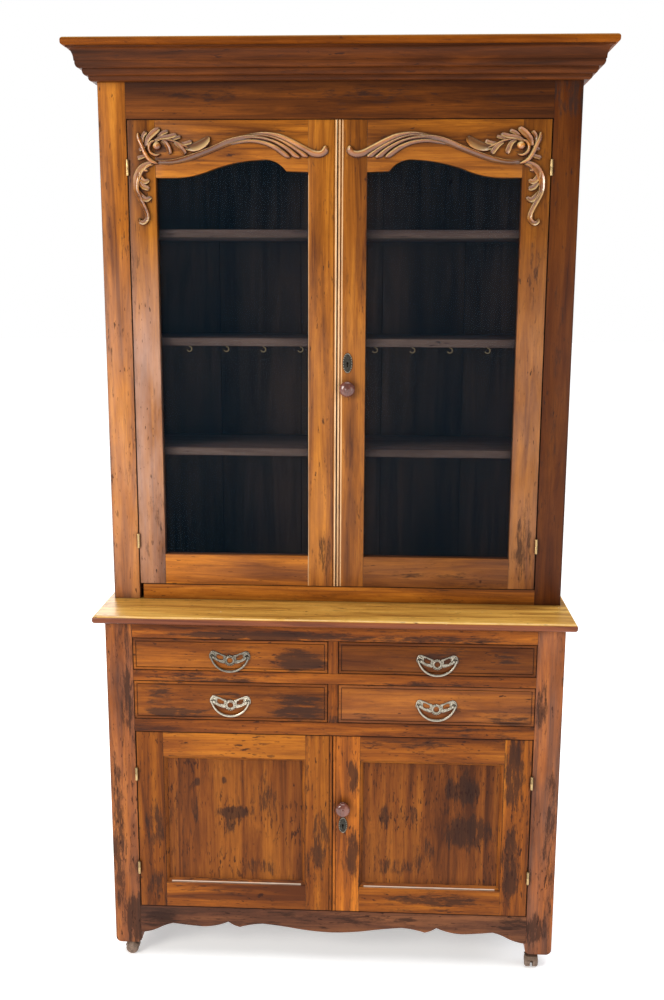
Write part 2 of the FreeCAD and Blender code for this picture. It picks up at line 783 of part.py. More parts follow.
def lower_frame():
    """Stiles, rails and panel of the left panelled door, and the moulding round the panel."""
    door = lower_door
    xa = door.x0 + panel_stile_width
    xb = door.x1 - panel_stile_width
    za = door.z0 + panel_bottom_rail
    zb = door.z1 - panel_top_rail
    y_panel = door.y0 + panel_recess
    panel = box(xa - panel_tongue, xb + panel_tongue, y_panel, y_panel + panel_thickness,
                za - panel_tongue, zb + panel_tongue)
    bottom = door_rail(door, xa, xb, door.z0, za, door.z0 + door_tenon_inset, za - door_tenon_inset)
    top = door_rail(door, xa, xb, zb, door.z1, zb + door_tenon_inset, door.z1 - door_tenon_inset)
    rails = [rail.cut(panel) for rail in (top, bottom)]
    stiles = [box(door.x0, xa, door.y0, door.y1, door.z0, door.z1),
              box(xb, door.x1, door.y0, door.y1, door.z0, door.z1).cut(quirk(door))]
    stiles = [cut_for(stile, [panel] + rails) for stile in stiles]

    def loop(inset, y):
        x0, x1, z0, z1 = xa + inset, xb - inset, za + inset, zb - inset
        corners = [V(x0, y, z0), V(x1, y, z0), V(x1, y, z1), V(x0, y, z1)]
        return Part.makePolygon(corners + corners[:1])

    y_front = door.y0 + panel_moulding_recess
    edges = [loop(panel_moulding_flat, y_front), loop(panel_moulding_width, y_panel)]
    splay = Part.makeLoft(edges, True, True)
    moulding = box(xa, xb, y_front, y_panel, za, zb).cut(splay)
    return stiles, rails + [moulding], panel


# Knobs, locks and bolts, on the right hand doors unless said otherwise

def knob(y_face, z, radius):
    """Turned wooden knob: rose, waist, mushroom head and a round tenon into the stile."""
    head = [(radius - inset, up) for inset, up in knob_head]
    foot = [(knob_tenon_radius, -knob_tenon_length), (knob_tenon_radius, 0.0), (knob_rose_radius, 0.0),
            (knob_rose_radius, knob_rose_thickness), (knob_neck_radius, knob_neck_at)]
    knob_solid = turned(foot + head + [(knob_button_radius, knob_projection)], knob_facets)
    knob_solid.rotate(V(0, 0, 0), V(1, 0, 0), 90)
    knob_solid.translate(V(lock_centre_in + meeting_gap / 2, y_face, z))
    return knob_solid


def keyhole(y0, y1, z):
    x = lock_centre_in + meeting_gap / 2
    slot = box(x - keyhole_slot_width / 2, x + keyhole_slot_width / 2, y0, y1, z - keyhole_slot_drop, z)
    return bore(keyhole_radius, V(x, y0, z), V(x, y1, z)).fuse(slot).removeSplitter()


def escutcheon(y_face, z, half):
    """Oval keyhole plate."""
    x = lock_centre_in + meeting_gap / 2
    around = ring_of_points(escutcheon_facets, 1.0)
    oval = [(x + half[0] * across, z + half[1] * up) for across, up in around]
    y0 = y_face - escutcheon_thickness
    return slab(front_outline(oval), y0, y_face).cut(keyhole(y0 - cut_past, y_face + cut_past, z))


def lock_case(door, z):
    """Cut cupboard lock let into the back and the edge of the meeting stile, with a way for its bolt."""
    x0 = meeting_gap / 2
    y0 = door.y1 - lock_depth
    case = box(x0, x0 + lock_width, y0, door.y1, z - lock_height / 2, z + lock_height / 2)
    way_in = keyhole(y0 - cut_past, door.y1 - lock_back_wall, z)
    return case, case.cut(lock_bolt(door, z, lock_bolt_gap)).cut(way_in)


def lock_bolt(door, z, gap=0.0):
    """Bolt drawn back flush with the door's edge. A gap gives the hollow that it slides in."""
    x0 = meeting_gap / 2
    y0 = door.y1 - lock_depth / 2 - lock_bolt_thickness / 2
    z0 = z + lock_height / 4 - lock_bolt_height / 2
    front = x0 - cut_past if gap else x0
    return box(front, x0 + lock_bolt_length + gap, y0 - gap, y0 + lock_bolt_thickness + gap,
               z0 - gap, z0 + lock_bolt_height + gap)


def bolt_mortise(door, z):
    """Pocket in the left hand door's edge that the thrown bolt enters."""
    y0 = door.y1 - lock_depth / 2 - lock_bolt_thickness / 2
    z0 = z + lock_height / 4 - lock_bolt_height / 2
    return box(door.x1 - lock_bolt_travel - mortise_gap, door.x1 + cut_past,
               y0 - mortise_gap, y0 + lock_bolt_thickness + mortise_gap,
               z0 - mortise_gap, z0 + lock_bolt_height + mortise_gap)


def flush_bolt_bar(door, z0, z1, half):
    """Square bar on the line of the flush bolt."""
    x = door.x1 - flush_bolt_in
    y = (door.y0 + door.y1) / 2
    return box(x - half, x + half, y - half, y + half, z0, z1)


def flush_bolt(door, gap=0.0, travel=0.0):
    """Bolt in the head of the left hand door's meeting stile, with a thumb tab through its back. A gap
    and a travel give the way that it slides in."""
    x = door.x1 - flush_bolt_in
    z1 = door.z1 - flush_bolt_recess
    tab_z = z1 - flush_bolt_tab_drop
    reach = flush_bolt_tab_half + gap
    bar = flush_bolt_bar(door, z1 - flush_bolt_length - gap, z1 + travel, flush_bolt_half + gap)
    tab = box(x - reach, x + reach, (door.y0 + door.y1) / 2, door.y1 + flush_bolt_tab_proud,
              tab_z - reach, tab_z + reach + travel)
    return bar.fuse(tab).removeSplitter()


def flush_bolt_socket(door):
    """Hole in the rail above that the thrown bolt enters."""
    return flush_bolt_bar(door, door.z1, door.z1 + flush_bolt_travel + mortise_gap,
                          flush_bolt_half + mortise_gap / 2)


# Carving

def on_door(u, v):
    return V(upper_door.x0 + u, upper_door.y0, upper_door.z1 - v)


def ridge(route, widths, height, crest):
    """Rib that follows a route over the door's face and swells and narrows with it. Its section is flat
    topped for as much of its width as crest says, or a sharp ridge where crest is 0."""
    centres = [on_door(*point) for point in route]
    last = len(centres) - 1
    start, middle, end = widths
    top = [(-crest, 1.0), (crest, 1.0)] if crest else [(0.0, 1.0)]
    rows = []
    for i, centre in enumerate(centres):
        ahead = centres[min(i + 1, last)] - centres[max(i - 1, 0)]
        side = V(ahead.z, 0, -ahead.x).normalize()
        t = 2.0 * i / last
        width = start + (middle - start) * t if t < 1 else middle + (end - middle) * (t - 1)
        tall = height * width / max(widths)
        section = [(-1.0, 0.0)] + top + [(1.0, 0.0)]
        rows.append([centre + side * (a * width) + V(0, -b * tall, 0) for a, b in section])
    loops = [rows[0], rows[-1]]
    for row, following in zip(rows, rows[1:]):
        for k in range(len(row)):
            loops += [[row[k - 1], row[k], following[k]], [row[k - 1], following[k], following[k - 1]]]
    return closed_solid([Part.Face(Part.makePolygon(loop + loop[:1])) for loop in loops])


def carving():
    """Scroll, acanthus leaves, fluted ribbon and pendant of the left door, carved as one piece."""
    ribs = [ridge(*rib) for rib in carved_ribs]
    ball = turned([(share * eye_radius, rise * eye_radius) for share, rise in eye_profile], eye_facets)
    ball.rotate(V(0, 0, 0), V(1, 0, 0), 90)
    ball.translate(on_door(*eye_at))
    return ribs[0].fuse(ribs[1:] + [ball]).removeSplitter()


# Drawers

drawer_rows = {"top": (z_upper_drawer, z_counter_rail, upper_pull_height),
               "bottom": (z_lower_drawer, z_divider, lower_pull_height)}


def drawer_span():
    """Left and right faces of the left hand drawers."""
    return -x_post + drawer_side_gap, -muntin_width / 2 - drawer_side_gap


def drawer(z0, z1):
    """Beaded front, two sides, back and bottom of a left hand drawer."""
    xa, xb = drawer_span()
    y_box = y_lower + drawer_front_thickness
    y_end = y_lower + drawer_length
    front = box(xa, xb, y_lower, y_box, z0 + drawer_edge_gap, z1 - drawer_edge_gap)
    rim = [edge for edge in front.Edges if abs(edge.CenterOfMass.y - y_lower) < 0.01]
    front = front.makeFillet(drawer_edge_round, rim)

    def field(inset):
        margin = drawer_edge_gap + inset
        return box(xa + inset, xb - inset, y_lower - cut_past, y_lower + quirk_width,
                   z0 + margin, z1 - margin)

    front = front.cut(field(quirk_from_edge).cut(field(quirk_from_edge + quirk_width)))
    za = z0 + drawer_running_gap
    zb = z1 - drawer_edge_gap - drawer_side_drop
    t = drawer_side_thickness
    sides = [box(xa, xa + t, y_box, y_end, za, zb), box(xb - t, xb, y_box, y_end, za, zb)]
    z_bottom = za + drawer_bottom_lift
    z_inside = z_bottom + drawer_bottom_thickness
    bottom = box(xa + t, xb - t, y_box, y_end, z_bottom, z_inside)
    back = box(xa + t, xb - t, y_end - t, y_end, z_inside, zb - drawer_back_drop)
    return [front] + sides + [back, bottom]


def bail_axis_y():
    return y_lower - pull_plate_thickness - pull_ear_half


def pull_plate(x, z):
    """Pierced plate: ring in the middle, a wing to each side and an ear behind each end of the bail."""
    y1 = y_lower
    y0 = y_lower - pull_plate_thickness
    ring = slab(front_outline(ring_of_points(pull_ring_facets, pull_ring_outer)), y0, y1)
    hole = slab(front_outline(ring_of_points(pull_ring_facets, pull_ring_inner)),
                y0 - cut_past, y1 + cut_past)
    window = slab(front_outline(list(pull_window)), y0 - cut_past, y1 + cut_past)
    x_ear = pull_eye_out - pull_ear_gap
    y_axis = bail_axis_y()
    ear = box(x_ear - pull_ear_width, x_ear, y_axis - pull_ear_half, y0,
              pull_eye_up - pull_ear_half, pull_eye_up + pull_ear_half)
    pin_room = bore(bail_pin_radius + bail_pin_clearance,
                    V(x_ear - pull_ear_width - cut_past, y_axis, pull_eye_up),
                    V(x_ear + cut_past, y_axis, pull_eye_up))
    wing = slab(front_outline(list(pull_wing)), y0, y1).cut(window).fuse(ear).cut(pin_room)
    plate = ring.fuse([wing, mirrored(wing)]).cut(hole).removeSplitter()
    plate.translate(V(x, 0, z))
    return plate


def bail(x, z):
    """Drop handle: a crescent bow whose ends turn in as pins through the plate's ears."""
    y = bail_axis_y()

    def edge(out, drop):
        """One edge of the bow, from eye to eye by way of its lowest point."""
        radius = (out ** 2 + drop ** 2) / (2 * drop)
        z_hub = pull_eye_up + bail_lap - drop + radius
        lift = math.degrees(math.asin((radius - drop) / radius))
        return arc_points(radius, -180 + lift, -lift, bail_facets, (0.0, z_hub))

    half = bail_end_width / 2
    outer = edge(pull_eye_out + half, bail_drop + bail_lap + bail_middle_width / 2)
    inner = edge(pull_eye_out - half, bail_drop + bail_lap - bail_middle_width / 2)
    bow = slab(front_outline(outer + inner[::-1]), y - bail_thickness / 2, y + bail_thickness / 2)
    x_pin = pull_eye_out - pull_ear_gap - pull_ear_width
    end = pin(bail_pin_radius, V(x_pin, y, pull_eye_up), V(pull_eye_out, y, pull_eye_up))
    handle = bow.fuse([end, mirrored(end)]).removeSplitter()
    handle.translate(V(x, 0, z))
    return handle


# Casters. Each is drawn with its swivel axis on the origin and its wheels trailing towards +X.

def caster_wheels():
    """Pair of wheels on the axle that turns with them."""
    inner = caster_web / 2 + wheel_gap
    outer = inner + wheel_width
    edge = [(wheel_radius - down, outer - back) for down, back in wheel_crown]
    wheel = turned(edge + [(wheel_radius, inner)], wheel_facets)
    axle = pin(axle_radius, V(0, 0, -inner), V(0, 0, inner))
    wheels = axle.fuse([wheel, wheel.mirror(V(0, 0, 0), V(0, 0, 1))]).removeSplitter()
    wheels.rotate(V(0, 0, 0), V(1, 0, 0), 90)
    wheels.translate(V(caster_trail, 0, wheel_radius))
    return wheels


def caster_body():
    """Stem, collar, hood over the wheels and the web between them, bored for the axle."""
    z_collar = z_foot - socket_flange_thickness - swivel_gap
    half = hood_width / 2
    hub = V(caster_trail, 0, wheel_radius)
    across = V(0, half, 0)
    hood_in = wheel_radius + hood_clearance
    hood_out = hood_in + hood_thickness
    half_step = math.radians(90 - hood_lift) / hood_facets
    inner, outer = [arc_points(radius, hood_lift, 180 - hood_lift, hood_facets, (hub.x, hub.z))
                    for radius in (hood_in / math.cos(half_step), hood_out)]
    hood = slab(front_outline(outer + inner[::-1]), -half, half)
    x_web = axle_radius + caster_web_wall
    web = box(caster_trail - x_web, caster_trail + x_web, -caster_web / 2, caster_web / 2,
              wheel_radius - x_web, wheel_radius + hood_in + hood_thickness / 2)
    collar = prism(collar_facets, caster_collar_radius, 0, 0, wheel_radius + hood_in, z_collar)
    stem = pin(stem_radius, V(0, 0, z_collar), V(0, 0, z_foot + stem_length))
    axle_room = bore(axle_radius + axle_clearance, hub - across, hub + across)
    return hood.fuse([web, collar, stem]).cut(axle_room).removeSplitter()


def socket_room():
    """Outside of the sleeve, from the flange up to its closed end."""
    z1 = z_foot + stem_length + socket_wall
    return prism(collar_facets, stem_radius + socket_wall, 0, 0, z_foot, z1)


def caster_socket():
    """Sleeve let into the foot, with a flange under it."""
    flange = prism(collar_facets, socket_flange_radius, 0, 0, z_foot - socket_flange_thickness, z_foot)
    room = bore(stem_radius + stem_clearance, V(0, 0, z_foot - socket_flange_thickness - cut_past),
                V(0, 0, z_foot + stem_length + stem_clearance))
    return socket_room().fuse(flange).cut(room).removeSplitter()


x_caster = x_post + caster_in_from_post_face
y_front_caster = y_lower + post_depth / 2
y_rear_caster = y_back - post_depth / 2
caster_places = {
    "front_left": (-x_caster, y_front_caster, 180.0),
    "front_right": (x_caster, y_front_caster, -90.0),
    "rear_left": (-x_caster, y_rear_caster, 0.0),
    "rear_right": (x_caster, y_rear_caster, -90.0)}


def placed(shape, x, y, turn):
    copy = shape.copy()
    copy.rotate(V(0, 0, 0), V(0, 0, 1), turn)
    copy.translate(V(x, y, 0))
    return copy


# Lower case pieces
sockets = [placed(caster_socket(), *place) for place in caster_places.values()]
rails = front_rails()
uprights = muntins()
rails = [cut_for(rail, uprights) for rail in rails]
rails[2] = rails[2].cut(flush_bolt_socket(lower_door))
valance = apron()
panels = pair(side_panel())
posts = pair(post(y_lower, y_post_back)) + pair(post(y_rear_post, y_back))
sleeves = [placed(socket_room(), *place) for place in caster_places.values()]
posts = [cut_for(upright, rails + [valance] + panels + sleeves) for upright in posts]
write("corner_posts", posts)
write("lower_side_panels", panels)
write("drawer_rails_and_muntins", rails + uprights)
write("scalloped_apron", [valance])
floor_board = box(-x_panel_in, x_panel_in, y_lower + apron_thickness, y_back_boards,
                  z_sill - floor_thickness, z_sill)
write("cupboard_floor", [cut_for(floor_board, posts)])
write("back_boards", back_boards(x_post, z_sill - floor_thickness, z_counter)
      + back_boards(x_upper_inside, z_counter_top, z_cornice_board))
write("drawer_runners", [cut_for(track, posts) for track in drawer_tracks()])
write("counter_top", [counter()])
write("caster_sockets", sockets)

# Upper case pieces
bottom_rail = tenoned(-x_upper_opening + bottom_rail_shortfall, x_upper_opening, y_upper,
                      upper_stile_thickness, z_counter_top, z_upper_floor, left=False)
frieze = tenoned(-x_upper_opening, x_upper_opening, y_upper, upper_stile_thickness,
                 z_frieze, z_cornice_board)
frieze = frieze.cut(flush_bolt_socket(upper_door))
write("upper_stiles", [cut_for(stile, [bottom_rail, frieze]) for stile in pair(upper_stile())])
write("upper_bottom_rail", [bottom_rail])
write("frieze_rail", [frieze])
write("upper_carcass_boards", carcass_boards())
hooks = [cup_hook(x) for x in hook_places()]
write("cup_hooks", hooks)
write("upper_shelves", [cut_for(shelf, hooks) for shelf in shelves()])
write("shelf_cleats", cleats())
write("cornice", cornice())

# Hinges
case_upper, case_lower = leaves(case_leaf)
door_upper, door_lower = leaves(door_leaf)
write("case_hinge_leaves", [leaf for one in case_upper + case_lower for leaf in pair(one)])

# Doors
stiles, others = upper_frame()
z_upper_lock = upper_door.z0 + upper_lock_height
z_lower_lock = lower_door.z0 + lower_lock_height
case_room, upper_lock = lock_case(upper_door, z_upper_lock)
upper_knob = knob(upper_door.y0, z_upper_lock - upper_knob_below_lock, upper_knob_radius)
bolt_room = flush_bolt(upper_door, flush_bolt_gap, flush_bolt_travel)
left_stile = cut_for(stiles[1], [bolt_mortise(upper_door, z_upper_lock), bolt_room])
way_in = keyhole(upper_door.y0 - cut_past, upper_door.y1, z_upper_lock)
right_stile = cut_for(mirrored(stiles[1]), [case_room, upper_knob, way_in])
write("left_upper_door_frame", [stiles[0], left_stile] + others)
write("right_upper_door_frame", [mirrored(stiles[0]), right_stile] + [mirrored(piece) for piece in others])
pane = glass()
write("left_upper_door_glass", [pane])
write("right_upper_door_glass", [mirrored(pane)])
scroll = carving()
write("left_carved_scroll", [scroll])
write("right_carved_scroll", [mirrored(scroll)])
write("left_upper_door_hinges", door_upper)
write("right_upper_door_hinges", [mirrored(leaf) for leaf in door_upper])
write("upper_door_knob", [upper_knob])
write("upper_door_lock", [upper_lock, escutcheon(upper_door.y0, z_upper_lock, upper_escutcheon_half)])
write("upper_lock_bolt", [lock_bolt(upper_door, z_upper_lock)])
write("left_upper_flush_bolt", [flush_bolt(upper_door)])

stiles, others, panel = lower_frame()
case_room, lower_lock = lock_case(lower_door, z_lower_lock)
lower_knob = knob(lower_door.y0, z_lower_lock + lower_knob_above_lock, lower_knob_radius)
bolt_room = flush_bolt(lower_door, flush_bolt_gap, flush_bolt_travel)
left_stile = cut_for(stiles[1], [bolt_mortise(lower_door, z_lower_lock), bolt_room])
way_in = keyhole(lower_door.y0 - cut_past, lower_door.y1, z_lower_lock)
right_stile = cut_for(mirrored(stiles[1]), [case_room, lower_knob, way_in])
write("left_lower_door_frame", [stiles[0], left_stile] + others)
write("right_lower_door_frame", [mirrored(stiles[0]), right_stile] + [mirrored(piece) for piece in others])
write("left_lower_door_panel", [panel])
write("right_lower_door_panel", [mirrored(panel)])
write("left_lower_door_hinges", door_lower)
write("right_lower_door_hinges", [mirrored(leaf) for leaf in door_lower])
write("lower_door_knob", [lower_knob])
write("lower_door_lock", [lower_lock, escutcheon(lower_door.y0, z_lower_lock, lower_escutcheon_half)])
write("lower_lock_bolt", [lock_bolt(lower_door, z_lower_lock)])
write("left_lower_flush_bolt", [flush_bolt(lower_door)])

# Drawers
for row, (z0, z1, pull_height) in drawer_rows.items():
    pieces = drawer(z0, z1)
    plate = pull_plate(-pull_in, z0 + pull_height)
    handle = bail(-pull_in, z0 + pull_height)
    write(row + "_left_drawer", pieces)
    write(row + "_right_drawer", [mirrored(piece) for piece in pieces])
    write(row + "_left_pull_plate", [plate])
    write(row + "_right_pull_plate", [mirrored(plate)])
    write(row + "_left_bail", [handle])
    write(row + "_right_bail", [mirrored(handle)])

# Casters
for corner, place in caster_places.items():
    write(corner + "_caster", [placed(caster_body(), *place)])
    write(corner + "_caster_wheels", [placed(caster_wheels(), *place)])
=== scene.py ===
import json
import math

import bmesh
import bpy
import numpy as np
from mathutils import Matrix, Vector

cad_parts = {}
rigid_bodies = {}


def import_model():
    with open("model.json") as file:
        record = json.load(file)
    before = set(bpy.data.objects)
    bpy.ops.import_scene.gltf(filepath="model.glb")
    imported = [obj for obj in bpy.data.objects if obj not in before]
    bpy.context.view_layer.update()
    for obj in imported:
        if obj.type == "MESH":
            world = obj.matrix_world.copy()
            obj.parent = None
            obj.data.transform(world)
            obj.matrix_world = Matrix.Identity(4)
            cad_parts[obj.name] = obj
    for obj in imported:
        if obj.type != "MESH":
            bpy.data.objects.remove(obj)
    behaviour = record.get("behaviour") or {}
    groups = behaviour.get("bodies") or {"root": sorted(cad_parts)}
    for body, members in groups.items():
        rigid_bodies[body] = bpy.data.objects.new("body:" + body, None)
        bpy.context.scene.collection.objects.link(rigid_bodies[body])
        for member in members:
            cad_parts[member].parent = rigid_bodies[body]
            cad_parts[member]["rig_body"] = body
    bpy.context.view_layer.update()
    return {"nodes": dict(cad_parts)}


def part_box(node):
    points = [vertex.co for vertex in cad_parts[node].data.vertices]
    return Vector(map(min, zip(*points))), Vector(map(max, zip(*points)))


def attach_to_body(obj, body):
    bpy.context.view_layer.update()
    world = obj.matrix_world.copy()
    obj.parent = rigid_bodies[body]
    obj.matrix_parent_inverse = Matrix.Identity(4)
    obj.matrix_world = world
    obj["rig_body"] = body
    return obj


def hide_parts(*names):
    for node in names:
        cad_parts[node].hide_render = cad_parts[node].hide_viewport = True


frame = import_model()
cadNodes = frame["nodes"]
mm = 0.001
print("frame loaded:", len(cadNodes), "nodes")


# Camera, lights and floor

shot = {
    "place": (0.114719, -2.718353, 1.689648),
    "yaw": -0.04704,  # radians, to the right of straight ahead
    "pitch": -0.19377,
    "roll": 0.00413,
    "lens": 39.862,
}


def aimCamera():
    yaw, pitch, roll = shot["yaw"], shot["pitch"], shot["roll"]
    ahead = Vector((math.sin(yaw) * math.cos(pitch), math.cos(yaw) * math.cos(pitch), math.sin(pitch)))
    level = Vector((math.cos(yaw), -math.sin(yaw), 0))
    above = level.cross(ahead)
    right = level * math.cos(roll) + above * math.sin(roll)
    up = above * math.cos(roll) - level * math.sin(roll)
    camera = bpy.data.objects.new("camera", bpy.data.cameras.new("camera"))
    camera.data.lens = shot["lens"]
    camera.data.sensor_width = 36
    camera.data.clip_end = 100
    turn = Matrix((right, up, -ahead)).transposed()
    camera.matrix_world = Matrix.Translation(shot["place"]) @ turn.to_4x4()
    bpy.context.scene.collection.objects.link(camera)
    bpy.context.scene.camera = camera


studio = {
    "lamps": (  # name, place, aim, size, watts, colour
        ("key", (-2.5, -2.9, 2.2), (0, 0, 1.25), 1.5, 92, (1, 0.96, 0.9)),
        ("fill", (2.3, -3.4, 1.5), (0, 0, 0.8), 1.8, 20, (1, 0.94, 0.86)),
        ("rim", (2.6, 0.6, 2.0), (0.5, 0, 1.2), 1.2, 30, (0.85, 0.92, 1)),
        ("behind", (-1.2, 3.2, 2.4), (0, 0, 1.1), 2.0, 60, (1, 0.98, 0.95)),
    ),
    "skylight": 2.1,  # straight down, for the floor
    "skylightAngle": 50,
    "daylight": 0.26,
    "paper": (0.87, 0.87, 0.87, 1),
    "paperGlow": 0.42,  # keeps the far floor as white as the backdrop
    "floorSize": 60,
}


def lightStudio():
    scene = bpy.context.scene
    for name, place, aim, size, watts, colour in studio["lamps"]:
        lamp = bpy.data.lights.new(name, "AREA")
        lamp.size, lamp.energy, lamp.color = size, watts, colour
        holder = bpy.data.objects.new(name, lamp)
        holder.location = place
        holder.rotation_euler = (Vector(aim) - Vector(place)).to_track_quat("-Z", "Y").to_euler()
        scene.collection.objects.link(holder)
    sky = bpy.data.lights.new("skylight", "SUN")
    sky.energy, sky.angle = studio["skylight"], math.radians(studio["skylightAngle"])
    scene.collection.objects.link(bpy.data.objects.new("skylight", sky))


def hangBackdrop():  # white as seen, but it lights the cupboard only faintly
    scene = bpy.context.scene
    scene.view_settings.view_transform = "Standard"
    world = scene.world or bpy.data.worlds.new("studio")
    scene.world = world
    world.use_nodes = True
    nodes, links = world.node_tree.nodes, world.node_tree.links
    nodes.clear()
    seen = nodes.new("ShaderNodeBackground")
    seen.inputs["Color"].default_value = (1, 1, 1, 1)
    around = nodes.new("ShaderNodeBackground")
    around.inputs["Color"].default_value = (0.9, 0.95, 1, 1)
    around.inputs["Strength"].default_value = studio["daylight"]
    ray, mix, out = [nodes.new("ShaderNode" + kind) for kind in ("LightPath", "MixShader", "OutputWorld")]
    links.new(ray.outputs["Is Camera Ray"], mix.inputs[0])
    links.new(around.outputs[0], mix.inputs[1])
    links.new(seen.outputs[0], mix.inputs[2])
    links.new(mix.outputs[0], out.inputs[0])


def layFloor():
    half = studio["floorSize"] / 2
    paper = bpy.data.meshes.new("floor")
    corners = [(-half, -half, 0), (half, -half, 0), (half, half, 0), (-half, half, 0)]
    paper.from_pydata(corners, [], [(0, 1, 2, 3)])
    floor = bpy.data.objects.new("floor", paper)
    paper.materials.append(Finish("floor_paper").surface({
        "Base Color": studio["paper"], "Roughness": 0.9, "Emission Color": (1, 1, 1, 1),
        "Emission Strength": studio["paperGlow"]}))
    bpy.context.scene.collection.objects.link(floor)


# Shader sums

class Level:  # a socket that can be added, multiplied and so on
    def __init__(self, finish, socket):
        self.finish, self.socket = finish, socket

    def __add__(self, other):
        return self.finish.sum("ADD", self, other)

    def __sub__(self, other):
        return self.finish.sum("SUBTRACT", self, other)

    def __rsub__(self, other):
        return self.finish.sum("SUBTRACT", other, self)

    def __mul__(self, other):
        return self.finish.sum("MULTIPLY", self, other)

    def __abs__(self):
        return self.finish.node("Math", {"operation": "ABSOLUTE"}, {0: self})

    __radd__, __rmul__ = __add__, __mul__

    def held(self):  # kept between 0 and 1
        return self.finish.sum("ADD", self, 0.0, True)


class Finish:
    def __init__(self, name):
        self.material = bpy.data.materials.new(name)
        self.material.use_nodes = True
        self.tree = self.material.node_tree
        self.tree.nodes.clear()

    def family(self, kind):
        return "ShaderNode"

    def node(self, kind, settings=None, feeds=None, out=0):
        made = self.tree.nodes.new(self.family(kind) + kind)
        for key, value in (settings or {}).items():
            if key == "stops":
                stops = made.color_ramp.elements
                while len(stops) < len(value):
                    stops.new(0.5)
                for stop, (at, colour) in zip(stops, value):
                    stop.position, stop.color = at, colour
            else:
                setattr(made, key, value)
        for key, value in (feeds or {}).items():
            if isinstance(value, Level):
                self.tree.links.new(value.socket, made.inputs[key])
            else:
                made.inputs[key].default_value = value
        return Level(self, made.outputs[out])

    def sum(self, operation, a, b, clamped=False):
        return self.node("Math", {"operation": operation, "use_clamp": clamped}, {0: a, 1: b})

    def along(self, operation, *vectors, out=0):  # vector sums
        return self.node("VectorMath", {"operation": operation}, dict(enumerate(vectors)), out)

    def part(self, vector, axis):
        return self.node("SeparateXYZ", None, {"Vector": vector}, out=axis)

    def mark(self, name, out="Vector"):  # a value kept on the vertices
        return self.node("Attribute", {"attribute_name": name}, out=out)

    def noise(self, place, scale, detail, roughness, distortion=0.0):
        return self.node("TexNoise", None, {"Vector": place, "Scale": scale, "Detail": detail,
                                            "Roughness": roughness, "Distortion": distortion})

    def ramp(self, level, stops):
        return self.node("ValToRGB", {"stops": stops}, {"Fac": level})

    def mix(self, share, a, b, blend="MIX"):
        return self.node("Mix", {"data_type": "RGBA", "blend_type": blend}, {0: share, 6: a, 7: b}, out=2)

    def openness(self, distance, samples):  # 1 on open faces, less in corners
        return self.node("AmbientOcclusion", {"samples": samples}, {"Distance": distance}, out="AO")

    def surface(self, feeds):
        shader = self.node("BsdfPrincipled", None, feeds)
        out = self.tree.nodes.new("ShaderNodeOutputMaterial")
        self.tree.links.new(shader.socket, out.inputs["Surface"])
        return self.material


def tint(red, green, blue):  # a colour as seen on screen, made linear
    def linear(level):
        level /= 255
        return level / 12.92 if level <= 0.04045 else ((level + 0.055) / 1.055) ** 2.4
    return (linear(red), linear(green), linear(blue), 1)
